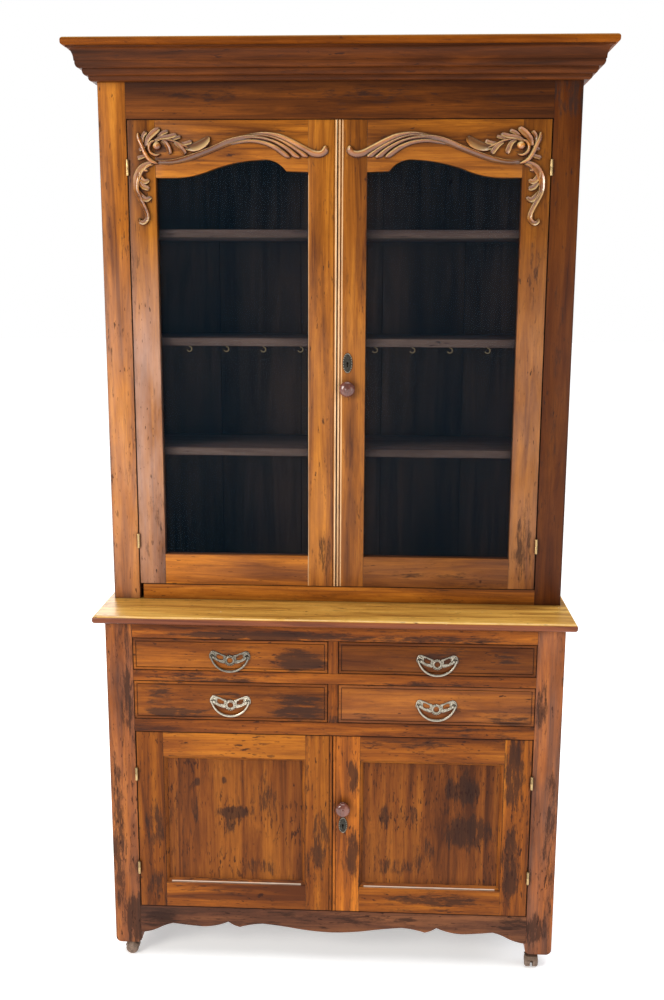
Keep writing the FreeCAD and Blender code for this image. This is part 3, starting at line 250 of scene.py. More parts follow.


# Wood finishes. Each look has three tones and says how much residue (with a few stains of painted shade), how
# many flecks and how much dirt along the edges of its boards there is, how rough the varnish is and how much
# it shines

woodLooks = {
    "case_wood": {"pale": (192, 110, 32), "mid": (142, 74, 20), "dark": (78, 38, 16), "residueAndShade": 0.8,
                  "flecks": 0.75, "edges": 0.7, "rough": 0.42, "shine": 0.13},
    "apron_wood": {"pale": (138, 86, 54), "mid": (96, 58, 40), "dark": (50, 34, 28), "residueAndShade": 0.9,
                   "flecks": 0.3, "edges": 0.3, "rough": 0.5, "shine": 0.12},
    "counter_wood": {"pale": (250, 204, 108), "mid": (220, 166, 76), "dark": (158, 108, 44),
                     "residueAndShade": 0.25, "flecks": 0.15, "edges": 0.2, "rough": 0.34, "shine": 0.24},
    "upper_case_wood": {"pale": (208, 132, 42), "mid": (166, 96, 26), "dark": (102, 53, 16), "residueAndShade": 0.2,
                        "flecks": 0.35, "edges": 0.4, "rough": 0.38, "shine": 0.14},
    "frieze_wood": {"pale": (126, 67, 17), "mid": (85, 42, 10), "dark": (48, 22, 7), "residueAndShade": 0.1,
                    "flecks": 0.1, "edges": 0.2, "rough": 0.55, "shine": 0.08},
    "cornice_wood": {"pale": (112, 57, 15), "mid": (80, 38, 10), "dark": (48, 22, 7), "residueAndShade": 0.1,
                     "flecks": 0.12, "edges": 0.0, "rough": 0.45, "shine": 0.12},
    "cornice_board": {"pale": (160, 88, 14), "mid": (122, 62, 9), "dark": (82, 39, 6), "residueAndShade": 0.1,
                      "flecks": 0.12, "edges": 0.0, "rough": 0.5, "shine": 0.06},
    # the inside boards' own tone, made darker still as painted shade for the dim inside of the cupboard
    "inside_wood": {"pale": (87, 67, 52), "mid": (66, 50, 40), "dark": (44, 33, 28), "residueAndShade": 0.2,
                    "flecks": 0.2, "edges": 0.3, "rough": 0.62, "shine": 0.14},
    # the shelves' own tone, dimmed as painted shade for the dim inside
    "shelf_wood": {"pale": (142, 118, 106), "mid": (116, 94, 84), "dark": (83, 65, 58), "residueAndShade": 0.0,
                   "flecks": 0.1, "edges": 0.0, "rough": 0.6, "shine": 0.2},
    "door_wood": {"pale": (204, 128, 38), "mid": (156, 90, 24), "dark": (96, 50, 15), "residueAndShade": 0.15,
                  "flecks": 0.25, "edges": 0.45, "rough": 0.36, "shine": 0.16},
    "lower_door_wood": {"pale": (186, 110, 30), "mid": (142, 76, 20), "dark": (84, 41, 15), "residueAndShade": 0.65,
                        "flecks": 1.2, "edges": 0.6, "rough": 0.42, "shine": 0.13},
    "panel_wood": {"pale": (160, 93, 30), "mid": (122, 65, 22), "dark": (76, 38, 16), "residueAndShade": 0.5,
                   "flecks": 1.7, "edges": 0.35, "rough": 0.42, "shine": 0.12},
    "carved_wood": {"pale": (234, 158, 58), "mid": (190, 114, 38), "dark": (118, 64, 22), "residueAndShade": 0.0,
                    "flecks": 0.0, "edges": 0.0, "rough": 0.24, "shine": 0.5, "coat": 0.9},
    "drawer_wood": {"pale": (180, 104, 28), "mid": (134, 71, 19), "dark": (76, 37, 14), "residueAndShade": 0.4,
                    "flecks": 0.35, "edges": 0.8, "rough": 0.38, "shine": 0.14},
    "knob_wood": {"pale": (142, 84, 66), "mid": (108, 60, 48), "dark": (66, 36, 30), "residueAndShade": 0.0,
                  "flecks": 0.0, "edges": 0.0, "rough": 0.18, "shine": 0.5, "coat": 0.5},
}
# tones for age and wear, and for painted light: glare, highlights and shade
agedAndLitTones = {
    "residueAndShade": (46, 31, 26), "glareOnVarnish": (212, 178, 164), "fleck": (44, 24, 20), "edgeDirt": (40, 22, 16),
    "cornerDirtAndShade": (30, 16, 12), "carvedHighlight": (250, 212, 146), "carvedUnderShade": (96, 44, 22),
    "carvedHollowGlazeAndShade": (44, 19, 9), "nosingDark": (92, 44, 25), "nosingRed": (150, 84, 48),
    "counterArrisWearAndHighlight": (240, 206, 150), "nick": (240, 226, 200), "doorArris": (255, 214, 164),
    "ledgeWearAndHighlight": (250, 226, 204), "friezeShade": (38, 17, 8), "corniceLipHighlight": (206, 154, 58),
}
wornArrises = (  # upright, on the glazed doors: x, half width, strength, top
    (-67.6, 1.7, 0.6, 1935), (-2.8, 2.4, 1.0, 2200), (4.4, 2.1, 0.95, 2200), (11.5, 1.8, 0.75, 2200),
)
# where the pale line under each lower panel lies: rubbed, with a painted highlight
ledgeWearAndHighlight = {"up": 9, "half": 1.9, "from": 78, "to": 404}  # from and to are out from the cupboard's middle
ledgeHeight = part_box("left_lower_door_panel")[0].z + ledgeWearAndHighlight["up"] * mm
patterns = {  # how far it is drawn out along the grain, its scale, detail, roughness and distortion
    "figure": (0.06, 42, 6, 0.66, 0.7), "broad": (0.25, 5, 2, 0.5), "smudge": (0.4, 24, 5, 0.7, 0.4),
    "fibre": (0.02, 420, 3, 0.65), "ragged": (0.16, 120, 5, 0.75), "glarePatch": (0.3, 16, 4, 0.6),
    "patch": (0.4, 9, 3, 0.6), "fleckedPart": (1.0, 9, 2, 0.6), "dash": (0.22, 190, 2, 0.55),
    "blot": (0.5, 44, 3, 0.6), "rubbedPart": (1.0, 34, 3, 0.6), "nick": (1.0, 150, 1, 0.5),
}
woodMade = {}


class Wood(Finish):
    def __init__(self, slotName, grain):
        super().__init__(f"{slotName}_{grain}_{len(woodMade)}")
        self.look, self.grain = woodLooks[slotName], grain
        self.spot = self.node("TexCoord", out="Object")
        self.spread = self.along("ADD", self.spot, self.mark("boardShift"))
        self.height = self.part(self.spot, "Z")
        self.facing = self.node("TexCoord", out="Normal")  # turns with a door, so its marks stay in front
        self.frontward = (self.part(self.facing, "Y") * -2).held()
        self.figure, self.fibre, self.ragged = [self.pattern(name) for name in ("figure", "fibre", "ragged")]

    def pattern(self, name):
        stretch, *sizes = patterns[name]
        drawn = tuple(stretch if axis == self.grain else 1.0 for axis in "XYZ")
        return self.noise(self.along("MULTIPLY", self.spread, drawn), *sizes)

    def cover(self, share, toneName):
        self.colour = self.mix(share, self.colour, tint(*agedAndLitTones[toneName]))

    def growGrain(self):
        dark, mid, pale = [tint(*self.look[name]) for name in ("dark", "mid", "pale")]
        tone = (self.figure * 0.9 + self.pattern("broad") * 0.6 - 0.25).held()
        self.colour = self.ramp(tone, [(0.33, dark), (0.5, mid), (0.7, pale)])
        smudge = (self.pattern("smudge") * 2.6 - 1.1).held()
        self.colour = self.mix(smudge * 0.4, self.colour, dark)
        self.colour = self.mix((self.fibre * 3.2 - 1.55).held() * 0.5, self.colour, dark)

    def toneShadeAndGlareBoard(self):  # how pale or dark the whole board is: its own tone, with painted shade on the boards that stand further from the key light; and its painted glare, a pale milky sheen for the key light reflected in the varnish
        board = self.mark("boardTone")
        darker, glare = self.part(board, "X"), self.part(board, "Y")
        shading = self.node("CombineColor", None, {"Red": 1 - darker, "Green": 1 - darker * 1.08,
                                                   "Blue": 1 - darker * 1.1})
        self.colour = self.mix(1.0, self.colour, shading, "MULTIPLY")
        # painted glare: pale milky patches below 1.8 m, for the key light reflected in the varnish
        glarePatch = (self.pattern("glarePatch") * 1.6 - 0.3).held() * ((1.8 - self.height) * 4).held()
        self.cover(glare * glarePatch, "glareOnVarnish")

    def addResidueAndShade(self, stainsAndShade):  # long ragged streaks, and the stains that lie at known places; a few of these are painted shade, under the cornice and round the carvings
        patch = self.pattern("patch")
        for x, z, halfWide, halfHigh, strength in stainsAndShade:
            away = self.along("MULTIPLY", self.along("SUBTRACT", self.spot, (x * mm, 0, z * mm)),
                              (1000 / halfWide, 0, 1000 / halfHigh))
            far = self.along("LENGTH", away, out="Value")
            patch = patch + ((1 - far) * 1.8).held() * self.frontward * strength
        needed = 1.0 - 0.12 * self.look["residueAndShade"]
        self.residueAndShade = ((patch * 0.62 + self.ragged * 1.05 - needed) * 6.5).held()
        self.cover(self.residueAndShade * 0.78, "residueAndShade")
        self.rough = self.residueAndShade * 0.2 + self.look["rough"]

    def addFlecks(self, amount):  # short dark dashes along the grain, and a few larger blots
        where = (self.pattern("fleckedPart") * 4.5 - 1.75).held()
        dash = self.pattern("dash") - (0.66 - 0.045 * amount)
        blot = self.pattern("blot") - (0.74 - 0.035 * amount)
        marks = ((dash * 24).held() * where + (blot * 18).held()).held()
        self.cover(marks * 0.84, "fleck")
        self.rough = self.rough + marks * 0.2

    def lightAndGlazeCarving(self):  # painted highlight on faces turned up towards the key light, painted shade on faces turned down and away from it, and old glaze with painted shade in the hollows
        rise = self.mark("rise", "Fac")
        lit = self.along("DOT_PRODUCT", self.facing, (-0.42, -0.3, 0.86), out="Value")
        # painted highlight
        self.cover((lit * 2.0 - 0.7).held() * 0.9, "carvedHighlight")
        # painted shade on the undersides
        self.cover((0.22 - lit).held() * 1.2, "carvedUnderShade")
        # old glaze and painted shade in the hollows
        self.cover(((1 - rise * 1.2) * 1.4).held() * 0.8, "carvedHollowGlazeAndShade")

    def wearAndHighlightCounter(self):  # dark nosing under an arris rubbed pale with a painted highlight along it, and small nicks
        tilt = self.part(self.facing, "Z")
        dark, red = [tint(*agedAndLitTones[name]) for name in ("nosingDark", "nosingRed")]
        nosing = self.mix((self.figure * 3 - 1.0).held(), dark, red)
        self.colour = self.mix(((0.62 - tilt) * 6).held(), self.colour, nosing)
        # rubbed pale and a painted highlight, where the rounded arris turns up into the light
        arris = (1 - abs(tilt - 0.8) * 7).held()
        self.cover(arris * (self.pattern("rubbedPart") * 3 - 0.8).held() * 0.9, "counterArrisWearAndHighlight")
        self.cover(((self.pattern("nick") - 0.79) * 40).held(), "nick")

    def wearDoor(self):  # upright arrises rubbed pale
        across = self.part(self.spot, "X")
        for x, halfWide, strength, top in wornArrises:
            line = ((halfWide * mm - abs(across - x * mm)) * 1500).held()
            broken = (self.fibre * 1.6 - 0.1).held() * ((top * mm - self.height) * 300).held()
            self.cover(line * broken * strength, "doorArris")

    def wearAndHighlightLowerDoor(self):  # the arris under each panel, rubbed pale, with a painted highlight where it faces up into the light
        out = abs(self.part(self.spot, "X"))
        ends = ((out - ledgeWearAndHighlight["from"] * mm) * 900).held() * ((ledgeWearAndHighlight["to"] * mm - out) * 900).held()
        line = ((ledgeWearAndHighlight["half"] * mm - abs(self.height - ledgeHeight)) * 1500).held()
        # rubbed pale and a painted highlight
        self.cover(line * ends * self.frontward * (self.ragged * 1.6 - 0.05).held(), "ledgeWearAndHighlight")

    def shadeFrieze(self):  # darker towards the cornice
        self.cover((1 - (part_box("cornice")[0].z - self.height) * 22).held() * 0.6, "friezeShade")

    def highlightCornice(self):  # the arris at its very top, lit from above, gets a painted highlight in a paler gold
        top = (1 - (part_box("cornice")[1].z - self.height) * 260).held()
        # painted highlight
        self.cover(top * self.frontward * 0.8, "corniceLipHighlight")

    def soilEdges(self, amount):  # the middle and the half size of a board are on its vertices
        offset = self.along("ABSOLUTE", self.along("SUBTRACT", self.spot, self.mark("boardMiddle")))
        inset = self.along("SUBTRACT", self.mark("boardHalf"), offset)
        square = self.along("SUBTRACT", self.along("ABSOLUTE", self.facing), (0.8, 0.8, 0.8))
        flat = self.along("MAXIMUM", square, (0.0, 0.0, 0.0))  # a face is no edge of its own board
        inset = self.along("ADD", inset, self.along("MULTIPLY", flat, (90, 90, 90)))
        x, y, z = [self.part(inset, axis) for axis in "XYZ"]
        inward = self.sum("MINIMUM", x, self.sum("MINIMUM", y, z))
        seam = (1 - inward * 900).held()
        dirt = ((1 - inward * 70) * 0.5 + (self.ragged - 0.62) * 2.2).held() * amount
        self.cover((seam * 0.75 + dirt).held(), "edgeDirt")

    def varnish(self):
        # dirt and painted shade: darker where ambient occlusion finds corners, creases and gaps between parts
        self.cover((1 - self.openness(0.022, 8)) * 0.8, "cornerDirtAndShade")
        height = self.fibre * 0.6 + self.ragged * 0.4 - self.residueAndShade * 0.3
        bumps = self.node("Bump", None, {"Strength": 0.3, "Distance": 0.0005, "Height": height})
        return self.surface({"Base Color": self.colour, "Roughness": self.rough, "Normal": bumps,
                             "Specular IOR Level": self.look["shine"],
                             "Coat Weight": self.look.get("coat", 0.0), "Coat Roughness": 0.14})


# wear, and painted light and shade, for some looks
wearAndLightOf = {"carved_wood": Wood.lightAndGlazeCarving, "counter_wood": Wood.wearAndHighlightCounter, "door_wood": Wood.wearDoor,
          "lower_door_wood": Wood.wearAndHighlightLowerDoor, "frieze_wood": Wood.shadeFrieze,
          "cornice_board": Wood.highlightCornice}


def woodFinish(slotName, grain, stainsAndShade=()):
    key = (slotName, grain, stainsAndShade)
    if key not in woodMade:
        wood = Wood(slotName, grain)
        wood.growGrain()
        wood.toneShadeAndGlareBoard()
        wood.addResidueAndShade(stainsAndShade)
        if wood.look["flecks"]:
            wood.addFlecks(wood.look["flecks"])
        if slotName in wearAndLightOf:
            wearAndLightOf[slotName](wood)
        if wood.look["edges"]:
            wood.soilEdges(wood.look["edges"])
        woodMade[key] = wood.varnish()
    return woodMade[key]


# Metal, glass and wheel finishes

metalLooks = {
    "brass": {"bright": (198, 168, 118), "dull": (104, 82, 52), "rough": 0.36},
    "pull_metal": {"bright": (216, 206, 186), "dull": (72, 62, 54), "rough": 0.3},
    "keyhole_plate": {"bright": (186, 178, 162), "dull": (44, 37, 33), "rough": 0.4},
    "caster_iron": {"bright": (132, 110, 94), "dull": (72, 58, 50), "rough": 0.6},
}
wheelLook = {"dark": (88, 68, 56), "pale": (140, 116, 98), "rough": 0.62}
# a dark blue-grey tint, which darkens all that is seen through the glass: painted shade for the inside
glassLook = {"tone": (16, 34, 46), "rough": 0.03, "alpha": 0.2, "shine": 0.04}
metalMade = {}


def metalFinish(slotName, darker=0.0):
    if (slotName, darker) not in metalMade:
        look = metalLooks[slotName]
        finish = Finish(f"{slotName}_{len(metalMade)}")
        worn = finish.noise(finish.node("TexCoord", out="Object"), 240, 4, 0.6)
        tarnish = ((1 - finish.openness(0.004, 6)) * 1.7 + (worn - 0.52) * 1.6 + darker * 0.5).held()
        bright, dull = [tint(*(level * (1 - darker) for level in look[name])) for name in ("bright", "dull")]
        bumps = finish.node("Bump", None, {"Strength": 0.2, "Distance": 0.0003, "Height": worn})
        metalMade[slotName, darker] = finish.surface({
            "Base Color": finish.mix(tarnish, bright, dull), "Roughness": tarnish * 0.3 + look["rough"],
            "Metallic": 0.9, "Normal": bumps})
    return metalMade[slotName, darker]


def glassFinish():
    return Finish("old_glass").surface({
        "Base Color": tint(*glassLook["tone"]), "Roughness": glassLook["rough"], "Alpha": glassLook["alpha"],
        "Specular IOR Level": glassLook["shine"]})


def wheelFinish():
    finish = Finish("caster_wheel")
    scuff = finish.noise(finish.node("TexCoord", out="Object"), 130, 4, 0.65)
    colour = finish.ramp(scuff, [(0.35, tint(*wheelLook["dark"])), (0.6, tint(*wheelLook["pale"]))])
    return finish.surface({"Base Color": colour, "Roughness": wheelLook["rough"]})


# Boards: each CAD solid is copied with its edges eased, and its grain runs along its length

slotOf = {
    "corner_posts": "case_wood", "lower_side_panels": "case_wood", "drawer_rails_and_muntins": "case_wood",
    "scalloped_apron": "apron_wood", "cupboard_floor": "inside_wood", "back_boards": "inside_wood",
    "drawer_runners": "inside_wood", "counter_top": "counter_wood", "upper_stiles": "upper_case_wood",
    "upper_bottom_rail": "upper_case_wood", "frieze_rail": "frieze_wood",
    "upper_carcass_boards": "upper_case_wood", "upper_shelves": "inside_wood",
    "shelf_cleats": "inside_wood", "cornice": "cornice_wood",
    "left_upper_door_frame": "door_wood", "right_upper_door_frame": "door_wood",
    "left_lower_door_frame": "lower_door_wood", "right_lower_door_frame": "lower_door_wood",
    "left_lower_door_panel": "panel_wood", "right_lower_door_panel": "panel_wood",
    "top_left_drawer": "drawer_wood", "top_right_drawer": "drawer_wood",
    "bottom_left_drawer": "drawer_wood", "bottom_right_drawer": "drawer_wood",
}
grainOf = {"lower_side_panels": "Z", "left_lower_door_panel": "Z", "right_lower_door_panel": "Z",
           "back_boards": "Z", "cupboard_floor": "X"}
stainsAndShadeOn = {  # place across and up, half width, half height, strength; most are stains, a few are painted shade
    "top_left_drawer": ((-90, 800, 74, 40, 0.5), (-60, 792, 60, 14, 0.4), (-249, 812, 66, 22, 0.3)),
    "bottom_left_drawer": ((-424, 690, 52, 60, 0.36), (-372, 660, 92, 18, 0.46), (-92, 668, 92, 26, 0.5),
                           (-84, 700, 72, 16, 0.4), (-249, 702, 70, 18, 0.26)),
    "top_right_drawer": ((249, 812, 66, 22, 0.3), (420, 812, 60, 22, 0.26)),
    "bottom_right_drawer": ((430, 660, 70, 24, 0.34), (249, 702, 70, 18, 0.24), (80, 664, 60, 16, 0.3)),
    "left_lower_door_panel": ((-250, 398, 62, 20, 0.5), (-254, 372, 24, 44, 0.42),
                              (-336, 478, 9, 17, 0.6), (-268, 482, 9, 14, 0.55), (-340, 400, 14, 50, 0.34),
                              (-180, 250, 60, 30, 0.34), (-160, 420, 30, 90, 0.24)),
    "right_lower_door_panel": ((335, 355, 90, 60, 0.46), (320, 470, 60, 40, 0.4), (200, 400, 40, 40, 0.36),
                               (230, 300, 40, 60, 0.36), (130, 395, 20, 40, 0.34), (160, 260, 60, 30, 0.3)),
    "left_lower_door_frame": ((-30, 330, 28, 160, 0.4), (-440, 370, 28, 90, 0.3), (-446, 200, 26, 60, 0.3)),
    "right_lower_door_frame": ((200, 590, 150, 16, 0.4), (440, 520, 30, 130, 0.42),
                               (440, 290, 26, 130, 0.42), (48, 500, 18, 60, 0.4), (50, 300, 18, 90, 0.42),
                               (270, 180, 170, 22, 0.36)),
    "corner_posts": ((-535, 330, 24, 260, 0.34), (-505, 680, 20, 120, 0.3), (-500, 110, 34, 80, 0.4),
                     (535, 330, 22, 240, 0.3), (500, 700, 20, 90, 0.3), (505, 110, 34, 70, 0.36)),
    "drawer_rails_and_muntins": ((-160, 860, 280, 14, 0.46), (270, 858, 200, 12, 0.36),
                                 (0, 652, 60, 14, 0.34), (-300, 742, 150, 12, 0.3),
                                 (240, 742, 160, 10, 0.3)),
    "scalloped_apron": ((-440, 110, 60, 30, 0.3), (100, 120, 160, 18, 0.3), (450, 120, 60, 30, 0.3)),
    # the first, at the top of the right stile under the cornice, is painted shade
    "upper_stiles": ((521, 2105, 60, 70, 0.3), (521, 1500, 20, 300, 0.2)),
    "frieze_rail": ((-330, 2105, 150, 20, 0.2), (60, 2110, 240, 24, 0.2), (400, 2100, 120, 24, 0.2)),
    # the second patch, round the carving, is dirt and painted shade
    "left_upper_door_frame": ((-30, 1040, 24, 60, 0.3), (-419, 1996, 40, 30, 0.34)),
    # the first patch, round the carving, is dirt and painted shade
    "right_upper_door_frame": ((419, 1996, 40, 30, 0.34), (456, 1100, 24, 160, 0.3),
                               (456, 1700, 24, 120, 0.26), (250, 985, 160, 12, 0.3)),
}
grainSeeds = {"left_upper_door_frame": 11}  # another number gives the node's boards another grain
easing = {"corner_posts": 1.0, "counter_top": 0.6, "back_boards": 0.8, "upper_carcass_boards": 0.8}
usualEasing = 0.5
boardToneShadeAndGlare = {  # how much darker than its kind (the board's own tone, with painted shade on boards further from the key light), and how much painted glare
    "upper_stiles": {"left": (0.0, 0.3), "right": (0.78, 0.02)},
    "upper_bottom_rail": {"left": (0.1, 0.1)},
    "left_upper_door_frame": {"hingeStile": (0.24, 0.6), "meetingStile": (0.02, 0.08), "head": (-0.14, 0.0),
                              "foot": (-0.42, 0.05)},
    "right_upper_door_frame": {"hingeStile": (0.38, 0.18), "meetingStile": (0.14, 0.06), "head": (0.1, 0.0),
                               "foot": (0.5, 0.06)},
    "left_lower_door_frame": {"hingeStile": (0.16, 0.0), "meetingStile": (0.05, 0.0), "foot": (-0.12, 0.0)},
    "right_lower_door_frame": {"hingeStile": (-0.2, 0.0), "meetingStile": (-0.75, 0.0)},
    "top_left_drawer": {"left": (0.06, 0.0)},
    "top_right_drawer": {"right": (0.58, 0.0)},
    "bottom_left_drawer": {"left": (0.08, 0.0)},
    "bottom_right_drawer": {"right": (0.04, 0.04)},
    "drawer_rails_and_muntins": {"left": (0.15, 0.0), "right": (0.15, 0.0)},
    "corner_posts": {"left": (0.05, 0.14), "right": (-0.22, 0.16)},
}


boardSizes = {  # these tell boards apart
    "hingeStile": 240, "rightSide": 10,  # the least that their middles lie out, and to the right
    "drawerFront": 5, "corniceBoard": 30, "bead": 9, "panelRing": 200,
}


def roleOf(node, middle, long):  # long is the axis that the board runs along
    if "door_frame" in node:
        if long == 2:
            return "hingeStile" if abs(middle.x) > boardSizes["hingeStile"] * mm else "meetingStile"
        low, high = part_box(node)
        return "head" if middle.z > (low.z + high.z) / 2 else "foot"
    return "left" if middle.x < boardSizes["rightSide"] * mm else "right"


def solidsOf(node):  # a solid is complete when each of its edges has been met twice
    mesh = cadNodes[node].data
    points = [tuple(round(part, 6) for part in vertex.co) for vertex in mesh.vertices]
    solids, faces, unpaired = [], [], set()
    for face in mesh.polygons:
        corners = [points[i] for i in face.vertices]
        faces.append(corners)
        for k in range(len(corners)):
            unpaired ^= {frozenset((corners[k - 1], corners[k]))}
        if not unpaired:
            solids.append(faces)
            faces = []
    return solids


folds = {"flat": 0.5, "sharp": 40}  # degrees: less than flat is one face, more than sharp is eased


def easedSolid(faces, width):
    shape = bmesh.new()
    made = {}
    for corners in faces:
        for point in corners:
            if point not in made:
                made[point] = shape.verts.new(point)
        if len(set(corners)) == 3:
            shape.faces.new([made[point] for point in corners])
    bmesh.ops.dissolve_limit(shape, angle_limit=math.radians(folds["flat"]), verts=shape.verts,
                             edges=shape.edges)
    sharp = [edge for edge in shape.edges
             if len(edge.link_faces) == 2 and edge.calc_face_angle(0) > math.radians(folds["sharp"])]
    bmesh.ops.bevel(shape, geom=sharp, offset=width * mm, segments=2, profile=0.6, affect="EDGES",
                    clamp_overlap=False)
    return shape


smoothing = {"board": 38, "metal": 50, "carving": 55, "knob": 60}  # degrees: a sharper fold stays crisp


def finished(name, shape, materials, kind):
    mesh = bpy.data.meshes.new(name)
    shape.to_mesh(mesh)
    shape.free()
    for material in materials:
        mesh.materials.append(material)
    mesh.shade_smooth()
    mesh.set_sharp_from_angle(angle=math.radians(smoothing[kind]))
    piece = bpy.data.objects.new(name, mesh)
    bpy.context.scene.collection.objects.link(piece)
    return piece


def attach(piece, slotName, *nodes):  # the piece stands for these nodes and moves with their body
    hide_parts(*nodes)
    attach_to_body(piece, cadNodes[nodes[0]]["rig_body"])


# Tools that several pieces share

def extent(verts):  # the lowest and the highest corner
    return [Vector([edge(vertex.co[k] for vertex in verts) for k in range(3)]) for edge in (min, max)]


def angles(count):  # round a full turn
    return [2 * math.pi * k / count for k in range(count)]


def outward(shape):  # every face turned outwards
    bmesh.ops.recalc_face_normals(shape, faces=shape.faces)
    return shape


def skinned(shape, rings):  # faces from ring to ring and over both ends; a ring of one corner is a pole
    sides = max(len(ring) for ring in rings)
    for lower, upper in zip(rings, rings[1:]):
        for k in range(sides):
            loop = [lower[k % len(lower)], lower[(k + 1) % len(lower)],
                    upper[(k + 1) % len(upper)], upper[k % len(upper)]]
            shape.faces.new(list(dict.fromkeys(loop)))
    for ring in (rings[0], rings[-1]):
        if len(ring) > 1:
            shape.faces.new(ring)
    return outward(shape)


# The cornice: the moulding's section is drawn with smooth curves, and its members meet in mitres

cornice = {"overhang": 65, "height": 69, "foot": 9, "ovolos": ((7, 7, 3), (8, 10, 5), (8, 11, 1.5)),
           "fillet": 4, "coveOut": 14.5, "coveFillet": 3, "board": 18, "arcSteps": 8}


def corniceSection():  # how far out and up
    quarter = [math.pi / 2 * k / cornice["arcSteps"] for k in range(1, cornice["arcSteps"] + 1)]
    out, up = cornice["foot"], 0
    section = [(0, 0), (out, 0)]
    for reach, rise, step in cornice["ovolos"]:
        section += [(out + reach * math.sin(a), up + rise * (1 - math.cos(a))) for a in quarter]
        out, up = out + reach, up + rise + cornice["fillet"]
        section += [(out, up), (out + step, up)]
        out += step
    rise = cornice["height"] - cornice["coveFillet"] - up
    section += [(out + cornice["coveOut"] * (1 - math.cos(a)), up + rise * math.sin(a)) for a in quarter]
    return section + [(out + cornice["coveOut"], cornice["height"]), (0, cornice["height"])]


def corniceMember(rough):
    low, high = extent(rough.verts)
    middle = (low.x + high.x) / 2 / mm
    if high.z - low.z < cornice["height"] / 2 * mm:  # the board on top
        return rough
    rough.free()
    low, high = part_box("cornice")
    side, face, back = high.x / mm - cornice["overhang"], low.y / mm + cornice["overhang"], high.y / mm
    foot = high.z / mm - cornice["board"] - cornice["height"]
    shape = bmesh.new()
    ends = [[], []]
    for out, up in corniceSection():
        if abs(middle) < 1:  # along the front, between both mitres
            places = (-(side + out), face - out), (side + out, face - out)
        else:
            places = [(math.copysign(side + out, middle), y) for y in (face - out, back)]
        for end, (x, y) in zip(ends, places):
            end.append(shape.verts.new(Vector((x, y, foot + up)) * mm))
    return skinned(shape, ends)


# how much paler the beads round each drawer front are: a painted highlight
beadHighlight = 0.45
noEdges = Vector((9, 9, 9))  # metres: a half size so large that no dirt gathers


def boardLook(node, low, size, front):
    if node == "upper_shelves":
        return "shelf_wood"
    if node.endswith("_drawer") and low.y > front + boardSizes["drawerFront"] * mm:
        return "inside_wood"
    if node == "cornice" and size.index(max(size)) == 0 and size[2] < boardSizes["corniceBoard"] * mm:
        return "cornice_board"
    return slotOf[node]


def boardMarks(node, number, low, high, plain):
    size = list(high - low)
    seed = sum(ord(letter) for letter in node) + number * 7.3 + grainSeeds.get(node, 0)
    shift = Vector((math.sin(seed) * 3.1, math.cos(seed * 1.7) * 2.3, math.sin(seed * 2.9) * 4.7))
    middle, half = (low + high) / 2, (high - low) / 2
    half[size.index(min(size))] = noEdges.x  # a board's faces count as far from its edges
    role = roleOf(node, middle, size.index(max(size)))
    # darker holds the board's tone with painted shade in it; the second value is painted glare
    darker, glare = boardToneShadeAndGlare.get(node, {}).get(role, (0, 0))
    bead = sorted(size)[1] < boardSizes["bead"] * mm
    # beads are paler, a painted highlight
    return shift, Vector((darker - beadHighlight * bead, glare, 0)), middle, noEdges if bead or plain else half


def dressBoards(node):
    slotName = slotOf[node]
    whole = bmesh.new()
    layers = [whole.verts.layers.float_vector.new(name)
              for name in ("boardShift", "boardTone", "boardMiddle", "boardHalf")]
    materials, places = [], {}
    front = min(vertex.co.y for vertex in cadNodes[node].data.vertices)
    for number, faces in enumerate(solidsOf(node)):
        part = easedSolid(faces, easing.get(node, usualEasing))
        if node == "cornice":
            part = corniceMember(part)
        low, high = extent(part.verts)
        size = list(high - low)
        grain = grainOf.get(node) or "XYZ"[size.index(max(size))]
        used = boardLook(node, low, size, front)
        ring = "lower_door_frame" in node and min(size[0], size[2]) > boardSizes["panelRing"] * mm
        for run in ("X", "Z") if ring else (grain,):
            if (used, run) not in places:
                places[used, run] = len(materials)
                materials.append(woodFinish(used, run, stainsAndShadeOn.get(node, ()) if used == slotName else ()))
        drawerFront = node.endswith("_drawer") and used == slotName  # it lies inside its beads
        marks = boardMarks(node, number, low, high, drawerFront)
        middle, half = (low + high) / 2, (high - low) / 2
        part.verts.index_update()
        copies = []
        for vertex in part.verts:
            copy = whole.verts.new(vertex.co)
            for layer, mark in zip(layers, marks):
                copy[layer] = mark
            copies.append(copy)
        for face in part.faces:
            copy = whole.faces.new([copies[vertex.index] for vertex in face.verts])
            if ring:  # the moulding round the panel: its grain runs along each of its sides
                away = face.calc_center_median() - middle
                grain = "Z" if half.x - abs(away.x) < half.z - abs(away.z) else "X"
            copy.material_index = places[used, grain]
        part.free()
    attach(finished(node + "_wood", whole, materials, "board"), slotName, node)


# Turned and swept shapes

def turnedShape(profile, sides=64):  # rings about Z from (radius, height)
    shape = bmesh.new()
    rings = []
    for radius, height in profile:
        rings.append([shape.verts.new(Vector((radius * math.cos(a), radius * math.sin(a), height)) * mm)
                      for a in (angles(sides) if radius else [0])])
    return skinned(shape, rings)


def smoothLine(points, steps=6):  # Catmull-Rom through the points, any number of values in each
    points = np.array(points, float)
    padded = np.vstack([2 * points[0] - points[1], points, 2 * points[-1] - points[-2]])
    line = []
    for i in range(len(points) - 1):
        a, b, c, d = padded[i:i + 4]
        for k in range(steps):
            t = k / steps
            line.append(0.5 * (2 * b + (c - a) * t + (2 * a - 5 * b + 4 * c - d) * t ** 2
                               + (3 * b - a - 3 * c + d) * t ** 3))
    return np.array(line + [points[-1]])


def closedLine(points, steps=6):
    points = [tuple(point) for point in points]
    line = smoothLine(points[-2:] + points + points[:3], steps)
    return line[2 * steps:-3 * steps]


